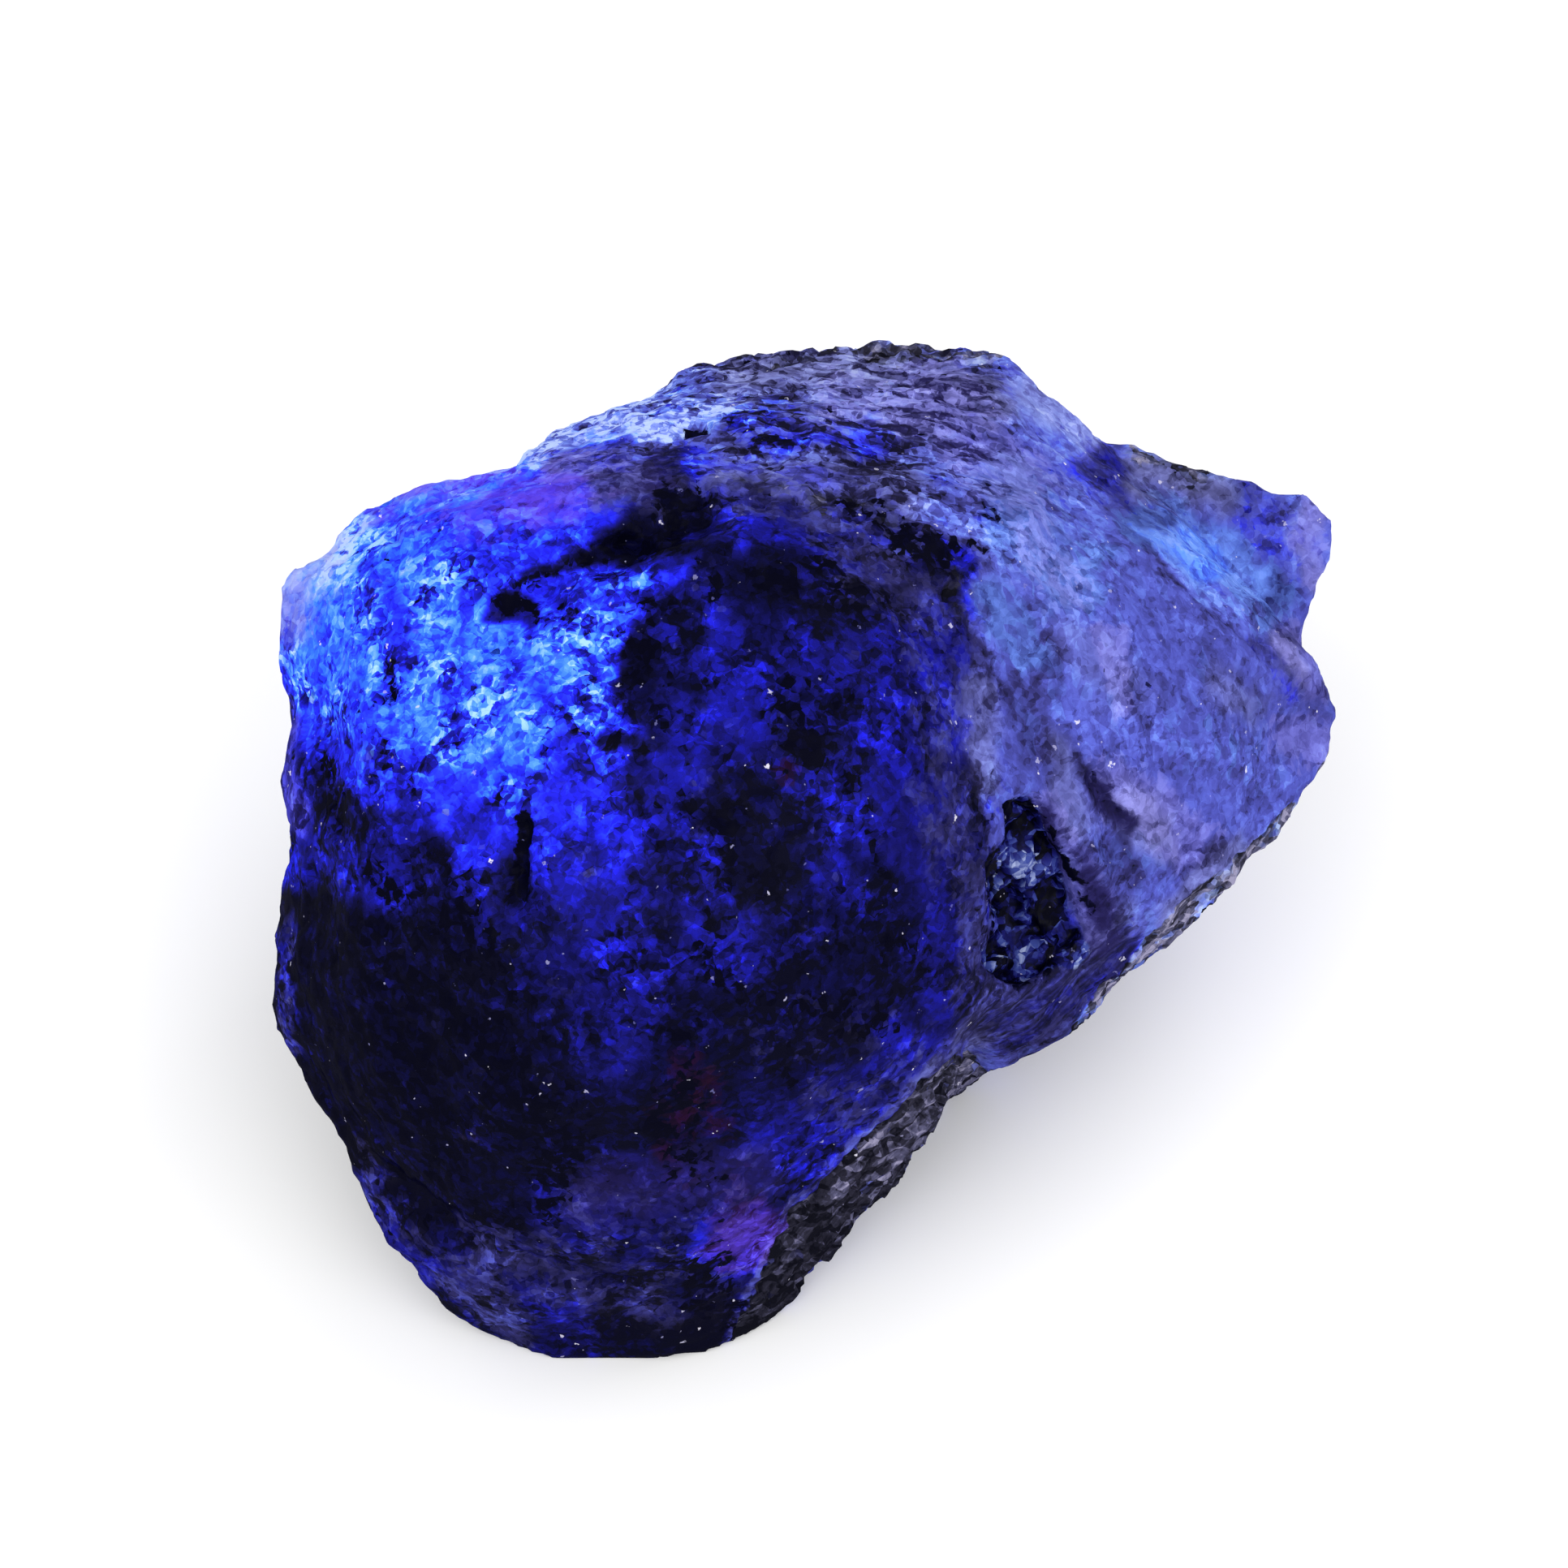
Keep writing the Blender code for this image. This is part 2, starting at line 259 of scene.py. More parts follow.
# %% [markdown]
# `turned` says how far each bit of skin faces the eye: 1 when it faces it squarely, 0 when it is edge-on and
# less when it is behind. Brush strokes are kept to what faces the eye, and the hidden side gets noise. The
# border must not follow every small bump, so each point takes the average of its neighbours many times over,
# and a little grain then makes the border ragged.

# %% What faces the eye
ROUNDS = 50  # of sharing with the neighbours
RAGGED = 0.10  # of the border

turned = normals @ np.array(toward_camera)
edges = read_ends(stone.data.edges)
neighbours = np.maximum(np.bincount(edges.ravel(), minlength=len(points)), 1)
eased_turn = turned.copy()
for _ in range(ROUNDS):
    first, second = eased_turn[edges[:, 0]], eased_turn[edges[:, 1]]
    received = np.bincount(edges[:, 0], second, len(points)) + np.bincount(edges[:, 1], first, len(points))
    eased_turn = received / neighbours
eased_turn += RAGGED * grain(points, 2.5, 2)
facing = fade(-0.62, -0.22, eased_turn)
hidden = 1.0 - facing
print("mean facing", facing.mean().round(2))

# %% [markdown]
# ## The faces of the lump
# Two long edges split the stone into faces. The crest runs along the top of the round front, and the blunt
# edge comes down from it on the right. They are given as a few places to pass through, and everything above
# the crest is the top, everything right of the blunt edge is the right side. Fading over a millimetre or two
# keeps the joins as soft as the real ones. A third line marks the rim, where the stone is broken underneath.

# %% Top, right side, front and rim
CREST = [  # (across, up), in mm
    (-30, 17), (-20, 18.2), (-17, 18.4), (-15.8, 18.2), (-13.1, 18.6), (-10.7, 19.5), (-9, 19.5),
    (-7.6, 18.9), (-4.8, 18.6), (1.6, 17.4), (6.6, 15.8), (9.5, 13), (12, 12.2), (40, 12),
]
EDGE = [  # (up, across), in mm
    (-40, -6), (-31.2, -2.8), (-28.8, -1.2), (-25.4, 0.5), (-23, 1.7), (-17.7, 7), (-15, 10), (-13, 11.4),
    (-6.1, 11.4), (0.7, 12.1), (5.3, 11.8), (12.1, 10.2), (40, 9),
]
RIM = [  # (across, up), in mm
    (-8, -40), (-3.2, -32), (-1.6, -28.5), (0.4, -24.4), (5.2, -19.4), (10.4, -14.8), (11.5, -16.4),
    (15.5, -15.2), (17.5, -11.8), (19.9, -9.4), (22.2, -7), (25.2, -4.5), (28, -1.9), (30.8, 2), (40, 11),
]

top = fade(-0.5, 0.9, brush[:, 1] - np.interp(brush[:, 0], *zip(*CREST)))
right = fade(-0.9, 1.5, brush[:, 0] - np.interp(brush[:, 1], *zip(*EDGE))) * (1.0 - top)
front = (1.0 - top) * (1.0 - right)
above_rim = steady[:, 1] - np.interp(steady[:, 0], *zip(*RIM))
rim = fade(0.35, -0.35, above_rim) * facing
rim *= fade(-0.40, -0.05, turned + 0.25 * grain(points, 2.2, 3))
print("top", top.mean().round(2), "right", right.mean().round(2), "rim", rim.mean().round(2))


# %% [markdown]
# ## Brushes
# A stroke is a line with a width. It is given as six numbers: across and up where it starts, across and up
# where it ends, its radius, all in mm on the drawing, and its level. `stroke()` says how far each point of
# the skin is under one. `lay()` puts a list of strokes on top of a value, each pulling it to its own level,
# so the later ones lie over the earlier ones. `cover()` keeps the strongest, so their order doesn't matter.

# %% Brushes
CRISP, EVEN, SOFT, SOFTEST = 0.5, 0.8, 1.2, 1.4  # how soft the fringe of a stroke is
FRINGE = 0.6  # how far softness 1 spreads it, as a share of the radius


def stroke(ends, radius, soft, at):
    """How far each point lies under a stroke between its ends: 1 in its middle, 0 outside it."""
    a, b = np.array(ends[:2], float), np.array(ends[2:], float)
    along = np.clip(((at - a) @ (b - a)) / max((b - a) @ (b - a), 1e-9), 0.0, 1.0)
    gap = np.linalg.norm(at - (a + along[:, None] * (b - a)), axis=1)
    return fade(radius * (1.0 + soft * FRINGE), radius * (1.0 - soft * FRINGE), gap)


def lay(value, strokes):
    """Pulls value to each stroke's level in turn."""
    for *ends, radius, level in strokes:
        under_brush = stroke(ends, radius, EVEN, brush) * facing
        value = value * (1.0 - under_brush) + level * under_brush
    return value


def cover(strokes, soft=SOFT, at=brush):
    """The strongest of several strokes, whose level is their strength."""
    value = np.zeros(len(points))
    for *ends, radius, strength in strokes:
        value = np.maximum(value, strength * stroke(ends, radius, soft, at))
    return value * facing


print("softness of a stroke:", CRISP, "to", SOFTEST)

# %% [markdown]
# ## How light the blue is
# Corundum this deep is nearly black where it is thick and turns electric blue where light gets through, so
# one number does most of the work: 0 is ink, 0.4 royal blue, 0.7 electric blue, 1 cyan. The front starts
# dark, a painted glow of the light that shone through gathers under the brow on the left, and the right side
# is pale, partly with dust and partly with painted light where it faces the light.
#
# The strokes come in the order in which they are laid, first the inky places on the front, with painted
# shadow under the crest, and the royal blue that shows between them.

# %% Strokes for the dark front
# ink, and painted shadow under the crest
INK_AND_SHADOW = [
    (-24, -9, -19, -20, 6, 0), (-19, -12, -13.5, -21, 4, 0), (-25, -10, -24, -16, 4, 0),
    (-20.4, -6.4, -19.4, -9, 1.2, 0.02), (-3, -13, 8, -12, 4, 0.1), (-5.3, -1, -1.5, -5, 2.8, 0.04),
    (-3.9, -7.5, -3.4, -12, 1.6, 0.06), (-4.8, 12.2, 2.5, 11.4, 2.3, 0.05), (2.5, 11, 8, 10, 2, 0.1),
    (0.9, 4, 1.4, 2.6, 1.6, 0), (2, -8, 6.5, -9.8, 1.8, 0.06), (-0.4, -1.4, 1, -2.4, 1.5, 0.08),
    (-6.2, -15, -6, -21, 2.2, 0.02), (-8.5, -31, -3, -30.5, 2, -0.05), (-16, -24, -14, -26, 2, 0),
    (-27, -8, -26.5, -16, 1.6, 0), (-10, -12, -7, -16, 1.6, 0.06), (-7.6, -6, -6.4, -8.4, 1.2, 0.1),
    (-3, -15.5, 3, -15, 1.8, 0.04), (-10.5, -18, -9.5, -21, 1.6, 0.04), (-21.6, -19, -19, -25, 2.2, 0.02),
    (-14.6, -10.5, -13, -12, 1.2, 0.1), (3, -4.6, 7, -7.4, 1.4, 0.1), (-8.6, -14, -11, -16.5, 1.6, 0.1),
    (4.4, 13.4, 7.6, 14.6, 1, 0.16), (15, -2.4, 16, -4.6, 0.9, 0.04),
]
ROYAL = [
    (-4.4, 8.4, -2.5, 4.6, 2.2, 0.32), (-3.5, 15.2, 1, 14.4, 1.4, 0.34), (2, 15.3, 6, 14, 1.5, 0.32),
    (-11, -5.4, -9, -8.4, 2.6, 0.35), (-9.5, -10, -9.5, -14, 2.2, 0.24),
    (-5.6, -7.6, -4.4, -11.5, 1.5, 0.32), (5, 1.4, 8.5, -3, 2.6, 0.28), (-1, -16.8, 2, -17.4, 1.6, 0.14),
    (1, 6.6, 6, 5.6, 2.2, 0.26), (8.6, 9.4, 9.4, 2.6, 1.5, 0.36), (9, -4, 9.2, -12, 1.5, 0.26),
    (3.5, -17.5, 6, -15.5, 1.4, 0.26), (-1, -20.5, 3, -18.5, 1.6, 0.28),
    (-23.4, -22.6, -22, -25.4, 0.8, 0.24), (-18, -26.5, -9, -28, 2, 0.2), (1.8, -0.6, 3.4, -2.2, 1.4, 0.28),
    (-12, -23, -4, -23.5, 2.2, 0.24), (-10, -28.8, -6, -29.4, 1.2, 0.14),
    (-20.6, -26.8, -19, -27.6, 0.8, 0.2), (-0.5, -21.5, 2.5, -20.8, 1.6, 0.32),
    (-17, -29, -12, -29.6, 1.2, 0.3), (-28.2, 2.4, -27.4, -4.5, 1.2, 0.44),
    (-25.6, -4, -22, -5.8, 1.6, 0.34), (-22.4, -3, -21.4, -4.6, 1.2, 0.32),
    (-14, -8, -12.5, -9.6, 1.4, 0.2), (-2.6, -8, -2, -10.5, 1, 0.24), (2.4, -5, 3.6, -5.6, 0.9, 0.26),
    (3, 13, 6, 12.2, 1.2, 0.28), (-28.2, -8, -28, -15, 0.6, 0.26), (7.6, -9.6, 9, -10.6, 0.9, 0.24),
    (-17.4, -5.4, -16.8, -8, 1, 0.26), (-4.6, -3.8, -3.8, -5.8, 0.9, 0.3), (-4, -26, 1, -25.8, 1.6, 0.42),
]
print("dark strokes:", len(INK_AND_SHADOW + ROYAL))

# %% [markdown]
# Under the brow a painted glow stands for the light that shone through the stone, and it stays in any light.
# One wide stroke sets it, and small ones scatter it.

# %% Strokes for the painted glow
PAINTED_GLOW = [
    (-22, 9, -13, 5, 8, 0.65), (-26.5, 11, -25.5, 5.5, 3.2, 0.8), (-19.5, 1.2, -17.4, -0.8, 3, 0.62),
    (-14.4, -0.6, -10.8, -3.2, 2.6, 0.54), (-17.6, -2, -17.4, -3.6, 1.4, 0.46),
    (-13, 11.5, -17, 13.5, 2.5, 0.6), (-21.5, 14.5, -19.6, 12.3, 1.7, 0.9),
    (-19.8, 10.8, -19.6, 7, 1.1, 0.94), (-16.8, 9, -16.4, 6.2, 1.2, 0.94),
    (-13.4, 7.8, -9.6, 8.2, 1.8, 0.9), (-12.5, 6.2, -11, 6, 1.2, 0.84), (-15.8, 4, -14.6, 3, 1.7, 0.96),
    (-21.2, 4.8, -17.8, 3, 1.8, 0.88), (-14.8, 1, -15.6, 0.2, 1.4, 0.8), (-27.6, 12, -24.8, 12.6, 2, 1.12),
    (-28.2, 9, -27.4, 10.8, 1.4, 1.04), (-24.6, 9.4, -24.2, 7.6, 1.4, 0.86),
    (-28.8, 6.4, -28.2, 3.4, 0.9, 0.5), (-24.8, 15.4, -23.4, 14.2, 1.2, 1.12),
    (-23, 16, -17.6, 17, 1.1, 0.8), (-23.2, 12.6, -22.8, 11, 0.8, 0.74), (-20.6, 15, -17, 15.6, 2, 0.8),
    (-17, 15, -12, 15.8, 2.4, 0.66), (-12, 16.8, -9.5, 16.8, 1.6, 0.6), (-9.6, 17.2, -7.4, 17, 1.2, 0.36),
    (-11.6, 14.4, -9.6, 14.8, 0.9, 0.56), (-12.6, 11.2, -6.6, 12.4, 1.3, 0.58),
    (-8.8, 9, -8.6, 7.4, 0.8, 0.74), (-11.4, 4.4, -10, 3.6, 0.9, 0.72), (-12, 2.4, -11.2, 1, 0.8, 0.46),
]
print("glow strokes:", len(PAINTED_GLOW))

# %% [markdown]
# The top and the right side are pale, partly rubbed and partly with painted light where they face the light,
# with darker streaks along their layers and round the pit, and a thin line of painted shade in the crease
# beside the knob.

# %% Strokes for the pale top and right side
PALE = [
    (-15.5, 18.9, -6, 21.2, 1.8, 1.06), (-6, 21.4, -3, 20.4, 1.6, 0.92),
    (-16.4, 18.4, -11, 20.8, 0.8, 1.15), (-13, 18, -8.8, 18.9, 0.7, 0.5), (-4.4, 18.6, 0.8, 18.2, 1, 0.62),
    (0.5, 20.4, 6, 19.4, 0.9, 0.4), (-1, 17.5, 5, 17, 0.8, 0.5), (-5.4, 23.6, 6, 24, 1.3, 0.58),
    (2, 21.8, 9.5, 21.9, 1.3, 0.72), (6.4, 19.4, 9.4, 18.6, 1.2, 0.42), (9, 20.8, 13, 20.6, 1.4, 0.54),
    (4, 24.6, 12, 24.2, 1.2, 0.8), (9.6, 16.2, 13.5, 14.4, 1.8, 0.67), (2, 17.2, 8.6, 16.2, 1, 0.54),
    (13.5, 22.4, 16.4, 19.4, 1.2, 0.84), (9, 18.2, 14, 16.6, 1.6, 0.7), (9.4, 12.9, 11.2, 12.2, 1, 0.46),
    (20.6, 14, 24.4, 12.4, 1.3, 0.84), (22.6, 13.4, 23.8, 12.2, 0.8, 0.9),
    (23.6, 11.2, 27.6, 10.2, 1.7, 0.82), (22, 12, 23.6, 11, 0.7, 0.8), (25, 9.8, 26.4, 9, 0.8, 0.72),
    (25.4, 14.8, 28.8, 13.8, 1.5, 0.6), (26.6, 13, 28, 12.4, 0.7, 0.56), (29.4, 16.4, 30.2, 11.4, 1.1, 0.8),
    (17.8, 18.2, 19.4, 16.8, 1, 0.36), (20.4, 17.2, 24.4, 16.4, 1, 0.54), (20, 18.8, 25, 17.8, 0.9, 0.84),
    # painted shade: a thin dark line along the crease beside the knob
    (18.4, 15.4, 20, 13, 0.5, 0.46), (20.2, 12.9, 24.3, 8.9, 0.35, 0.36), (24.3, 8.9, 26.4, 7.4, 0.4, 0.3),
    (26.4, 7.8, 27.6, 6.2, 0.7, 0.3), (28.2, 10.6, 29.8, 8.8, 1.1, 0.46), (28.2, 8.2, 29, 6.6, 0.8, 0.74),
    (28.6, 5, 30.4, 4, 1.2, 0.46), (28.9, 2.4, 30.4, 1.2, 0.9, 0.66), (24, 8.2, 28, 4.8, 1.2, 0.48),
    (18.4, 8, 19, 4, 0.7, 0.76), (19.8, 6, 20.6, 2, 0.8, 0.64), (15.2, 10.6, 16.8, 3, 1.1, 0.66),
    (21, 4.5, 25, 2.5, 1.6, 0.54), (20, 0, 22, -2.4, 1.4, 0.62), (19.6, -0.8, 20.8, -3, 1, 0.77),
    (20.8, -2.8, 22.4, -3.6, 0.9, 0.66), (11.6, 10.4, 13.2, 7.4, 1.3, 0.54), (11, 4, 12.2, -0.6, 1, 0.62),
    (13.4, 5, 14.8, 1.2, 1.2, 0.34), (14.9, 8.4, 15.6, 5, 0.5, 0.5), (16, -2.6, 17.8, -8, 1, 0.46),
    (17.8, -3.6, 18.8, -7, 1.1, 0.38), (12.6, -12.2, 18.5, -9.4, 1.8, 0.2),
    (13.5, -14.5, 16.5, -12.5, 1.5, 0.22), (22.5, -4.8, 24.5, -3.6, 0.9, 0.4),
    (18, 1.6, 19.6, 0.8, 0.8, 0.52), (22, 1.6, 25, 0.6, 1.2, 0.54), (16.4, 1, 16.8, -1.6, 0.8, 0.58),
    (15.6, 3.6, 17.6, 0.4, 0.5, 0.24), (17.6, 0.2, 19, -2, 0.6, 0.14), (18.9, -2.4, 19.3, -5.6, 0.5, 0.28),
    (15, 9, 15.2, 5, 0.6, 0.44), (14.5, 13.6, 17, 9.6, 1.6, 0.78), (16, 16, 18, 13.6, 1.2, 0.68),
    (26.5, 1, 28, 2.2, 1, 0.6),
]
print("pale strokes:", len(PALE))

# %% [markdown]
# Last come small touches all over, which break up what the larger strokes left too even.

# %% Small touches
TOUCHES = [
    (-7.2, 7.6, -8.4, 5.4, 1.1, 0.06), (-8.2, 5.2, -6.9, 3.2, 1.2, 0.06), (-6.6, 9.6, -5.6, 5.4, 1.3, 0.14),
    (-6.2, 3.6, -5.4, 0.6, 1.2, 0.3), (-8.2, 0.6, -6.4, -2, 1.2, 0.26), (-10.4, 2.8, -8.6, 2.3, 0.7, 0.1),
    (-16.2, 10, -14.4, 9.7, 0.6, 0.24), (-11.9, -3, -11.2, -4.8, 0.9, 0.28),
    (-9.2, 13.3, -5.6, 14.9, 1.2, 0.02), (-6.6, 15.6, -5.2, 16.6, 0.9, 0.14),
    (-14.2, 11.8, -10.4, 12.9, 0.5, 0.14), (-7.2, 12.9, -5.2, 13, 0.6, 0.34), (-28.6, 5, -28, 3, 0.8, 0.46),
    (-28, 9.6, -27.8, 7.4, 1, 0.8), (-24.8, 1.4, -22.6, -0.4, 1.1, 0.56), (-26, -3, -25.2, -4.2, 0.9, 0.24),
    (-19.8, 16.4, -17.6, 16.6, 0.9, 0.92), (-12, 18, -10.4, 18.2, 0.7, 0.7),
    (-3, 19.8, -0.8, 19.3, 0.9, 0.4), (-5.4, 22.6, -2, 22.8, 1, 0.68), (4.6, 22.2, 7, 21.8, 1, 0.8),
    (3.6, 17.2, 6.4, 16.8, 0.9, 0.36), (14.6, 17.6, 16.6, 16, 1.2, 0.68), (16, 15.4, 18, 13.8, 1, 0.64),
    (9, 22.4, 11, 22, 1, 0.56), (-22.4, -25, -20.6, -27.4, 1.3, 0.31), (-18.4, -28, -16, -30.2, 0.9, 0.3),
    (20.2, 15.2, 21.2, 14.9, 0.6, 0.5), (25.6, 15.8, 27.4, 15.2, 0.9, 0.46), (28, 10.4, 28.8, 8.8, 1, 0.44),
    (29.3, 13, 29.6, 11.6, 0.7, 0.66), (28.8, 9.6, 29.6, 8.6, 0.7, 0.56), (22.4, -3.6, 23.8, -3, 0.8, 0.66),
    (25.4, -2.6, 27.6, -0.6, 0.9, 0.52), (-5.8, 3, -4.6, 0.8, 0.9, 0.36),
    (16.8, -5.6, 17.4, -7.2, 0.6, 0.1), (10.6, 5, 11, 3.4, 0.7, 0.42), (24.4, 5.8, 25.8, 4.6, 1, 0.54),
    (26.6, 9.4, 27.4, 8.6, 0.7, 0.52), (-4.4, 17.1, -3.2, 17, 0.8, 0.48), (15.6, 4, 16.4, 2.4, 0.7, 0.56),
    (-0.6, -1.8, 1.2, -2.4, 1.2, 0.05), (3.2, -1.6, 4.6, -2.4, 1, 0.26), (-10.2, -8.8, -9, -10.2, 1.1, 0.4),
    (-4.8, -12.2, -3.8, -13, 0.9, 0.08), (-7.2, -7.4, -6.2, -8.6, 0.9, 0.12),
    (5.4, -14.2, 9.4, -15, 1, 0.34), (-2.8, -20.6, -1.4, -21.4, 0.9, 0.2), (2.6, 2.6, 2, 4.6, 1, 0.16),
    (-11.6, -21.4, -9.6, -22.4, 1.1, 0.1), (23.8, 10.8, 25.6, 9.4, 0.7, 0.74),
]
print("small touches:", len(TOUCHES))

# %% [markdown]
# Each face starts at its own lightness. The top and the right side start lighter than the round front, partly
# with painted light, because they face the light. The hidden side gets broad noise that darkens towards the
# floor.
# Then the strokes go on. The broken rim gets lighter to the right, and darker with painted shade where it
# turns under, away from the eye. A narrow hem just above it and a thin ledge beside the knob are worn smooth,
# so each of them gets one even lightness.

# %% Lightness
FRONT_LIGHT, TOP_LIGHT, RIGHT_LIGHT, HIDDEN_LIGHT = 0.16, 0.54, 0.60, 0.40
HEM_LIGHT, HEM_SHARE, HEM_END = 0.60, 0.8, (13.0, 11.5)
LEDGE_LIGHT, LEDGE_SHARE = 0.52, 0.9
CREASE_WAY, CREASE_PLACE = (0.673, 0.740), 23.2  # the straight crease that the ledge stops at
LEDGE = [
    (19.4, 13.8, 26.8, 7, 1.1, 1),
]

behind = HIDDEN_LIGHT + 0.45 * grain(points, 11.0, 4) - 0.15 * fade(14.0, 2.0, points[:, 2])
# the top and the right side start lighter partly as painted light, because they face the light
light = FRONT_LIGHT * front + TOP_LIGHT * top + RIGHT_LIGHT * right
light = light * facing + behind * hidden
light = lay(light, INK_AND_SHADOW + ROYAL + PAINTED_GLOW + PALE + TOUCHES)

rim_core = fade(0.3, 0.9, rim)
rim_tone_and_shade = np.interp(brush[:, 0], (0.0, 12.0, 30.0), (0.50, 0.95, 1.20))
# painted shade: the rim darkens where it turns under, away from the eye
rim_tone_and_shade = rim_tone_and_shade * (0.45 + 0.55 * fade(-0.10, 0.20, eased_turn))
light = light * (1.0 - rim_core) + rim_core * rim_tone_and_shade

hem = fade(0.0, 0.50, above_rim) * fade(1.7, 0.7, above_rim) * facing
hem *= (0.5 + 0.5 * fade(-0.3, 0.3, grain(points, 2.4))) * fade(*HEM_END, steady[:, 0])
light = light * (1.0 - HEM_SHARE * hem) + HEM_SHARE * hem * HEM_LIGHT

past_crease = steady @ np.array(CREASE_WAY) - CREASE_PLACE
ledge = cover(LEDGE, CRISP, steady) * fade(0.15, -0.15, past_crease)
light = light * (1.0 - LEDGE_SHARE * ledge) + LEDGE_SHARE * ledge * LEDGE_LIGHT
print("lightness runs from", light.min().round(2), "to", light.max().round(2))

# %% [markdown]
# ## Dust and painted sheen
# A rubbed rough stone carries a pale violet film where it was handled, which greys the blue under it. It is
# thick on the right side and the top and thin on the round front. On the right side and the top the same
# pale film is also painted sheen, the light that those faces throw back. The strokes say where it is
# cleaner or dustier than the rest of its face.

# %% Dust and painted sheen
FRONT_DUST, TOP_DUST_AND_SHEEN, RIGHT_DUST_AND_SHEEN, HIDDEN_DUST, WORN_DUST = 0.08, 0.80, 0.94, 0.70, 0.9
DUST_AND_SHEEN_STROKES = [
    (-13.5, 19.4, -4, 20.8, 1.8, 0.72), (-2, 20.2, 5, 19.4, 1.2, 0.4), (25, 15, 28.4, 13, 1.9, 0.66),
    (21, 14.4, 24, 12, 1.5, 0.66), (24.5, 12.2, 28, 10.2, 1.3, 0.85), (-20, -26.5, -5, -29, 2.4, 0.46),
    (-12, -23.4, -3, -24, 2, 0.36), (11, 8, 11.6, -2, 1.6, 0.85), (11, -2, 10.8, -13.5, 1.3, 0.6),
    (8.8, 8, 9, -4, 1.6, 0.46), (2.5, -18.5, 7, -15, 1.8, 0.46), (12, -13, 18.5, -9.6, 2.2, 0.5),
    (-28.2, 9, -26.2, 13.8, 2.2, 0.55), (-12.6, 18.2, -8.6, 19, 0.9, 0.6), (-10, 17, -6.5, 16.8, 1.5, 0.7),
    (-3.5, 16.6, 6, 14.6, 1.6, 0.55), (4, 12.5, 8.5, 10, 2, 0.5), (-1, -13.5, 5, -14.5, 2.4, 0.25),
    (17.6, 18, 19.8, 16.8, 1.2, 0.52), (20.8, 17.6, 24.4, 16.6, 1.3, 0.98),
    (26.4, 7.8, 28.4, 5.6, 0.9, 0.62), (-28.4, -7, -28.2, -15, 0.9, 0.4),
    (-24, -20.6, -22.4, -24, 0.9, 0.45), (-22.8, -25, -20.4, -27.4, 1.2, 0.38),
    (-18.4, -28.4, -15.2, -31, 0.9, 0.66), (-24.5, 15.4, -21, 16.4, 1, 0.4),
    (22.6, 13.4, 24, 12.2, 1, 0.45), (13.2, -5.5, 15, -9.5, 1.6, 0.3),
]

# the top and the right side carry painted sheen as well as dust: the pale light that those faces throw back
dusty = FRONT_DUST * front + TOP_DUST_AND_SHEEN * top + RIGHT_DUST_AND_SHEEN * right
dusty = dusty * facing + (HIDDEN_DUST + 0.3 * grain(points, 9.0, 2)) * hidden
dusty = lay(dusty, DUST_AND_SHEEN_STROKES)
dusty = np.maximum(dusty, WORN_DUST * np.maximum(np.maximum(hem, rim), ledge))
print("mean dust", dusty.mean().round(2))

# %% [markdown]
# ## Ink
# Black mica and iron fill the cracks and the whole lower left. Mica lies in ragged patches, so its strokes
# get the softest fringe. Seams are thin, so they are laid at the steady places.

# %% Mica and seams
MICA = [
    (0.2, 4.6, 1.2, 2, 2, 0.55), (-6.4, -18, -5.6, -21, 1.6, 0.5), (-5.6, 15, -8.2, 14, 0.9, 0.85),
    (-6.4, 16.2, -5.2, 15.6, 0.8, 0.7), (-7.6, 10, -7.2, 8.9, 0.6, 0.66),
    (-4.6, 12.4, -4.4, 9.6, 0.8, 0.66), (-3, 12.4, 3, 11.4, 1.4, 0.49), (3, 11, 5.6, 9.6, 1.2, 0.5),
    (0.6, 4.2, 1.6, 2.4, 1.5, 0.72), (-5, -1, -3.6, -2, 1.8, 0.62), (-2.6, -3, -1.4, -5.8, 1.4, 0.58),
    (-22, -11, -19, -19, 5, 0.6), (-17, -14, -14.5, -20, 3, 0.6), (-24.5, -10, -23.5, -15, 2.6, 0.58),
    (-3.8, -7.6, -3.4, -11, 1.1, 0.52), (6.6, 14.4, 8.8, 13, 0.9, 0.78), (9.4, 13.6, 11.2, 12.8, 0.4, 0.5),
    (8.6, 12.2, 9.2, 11.2, 0.6, 0.6), (3.4, 15.8, 6.6, 15.4, 0.7, 0.45), (-10.2, 2.8, -8.4, 2.4, 0.6, 0.62),
    (-11.6, 12.4, -14.6, 11.2, 0.5, 0.56), (-16.4, 10.1, -14.2, 9.7, 0.5, 0.54),
    (-7.2, 7.4, -8.4, 5.4, 0.9, 0.52), (-8, 5.2, -7, 3.6, 0.9, 0.5), (-22.4, -5, -21.6, -8, 0.8, 0.55),
    (-18.6, -5.6, -18.6, -9, 0.8, 0.6), (11.8, -8.6, 12.6, -11, 0.8, 0.75),
    (-4.5, -27.5, -3.2, -29.5, 1.4, 0.55), (2.4, -7.4, 3.6, -9.6, 1.1, 0.52), (5, -9.2, 7.6, -9.8, 1, 0.52),
    (3.8, 0.4, 4.8, -4.4, 0.6, 0.5), (-5.5, -14.5, -6, -20, 1.5, 0.55), (1.6, -12.6, 5.6, -13.4, 1.4, 0.5),
    (-25, -18.5, -21, -22, 1.6, 0.58), (-13, -22.5, -16, -24.5, 1.6, 0.52),
    (-16.8, -4.6, -16.6, -8, 0.7, 0.5),
]
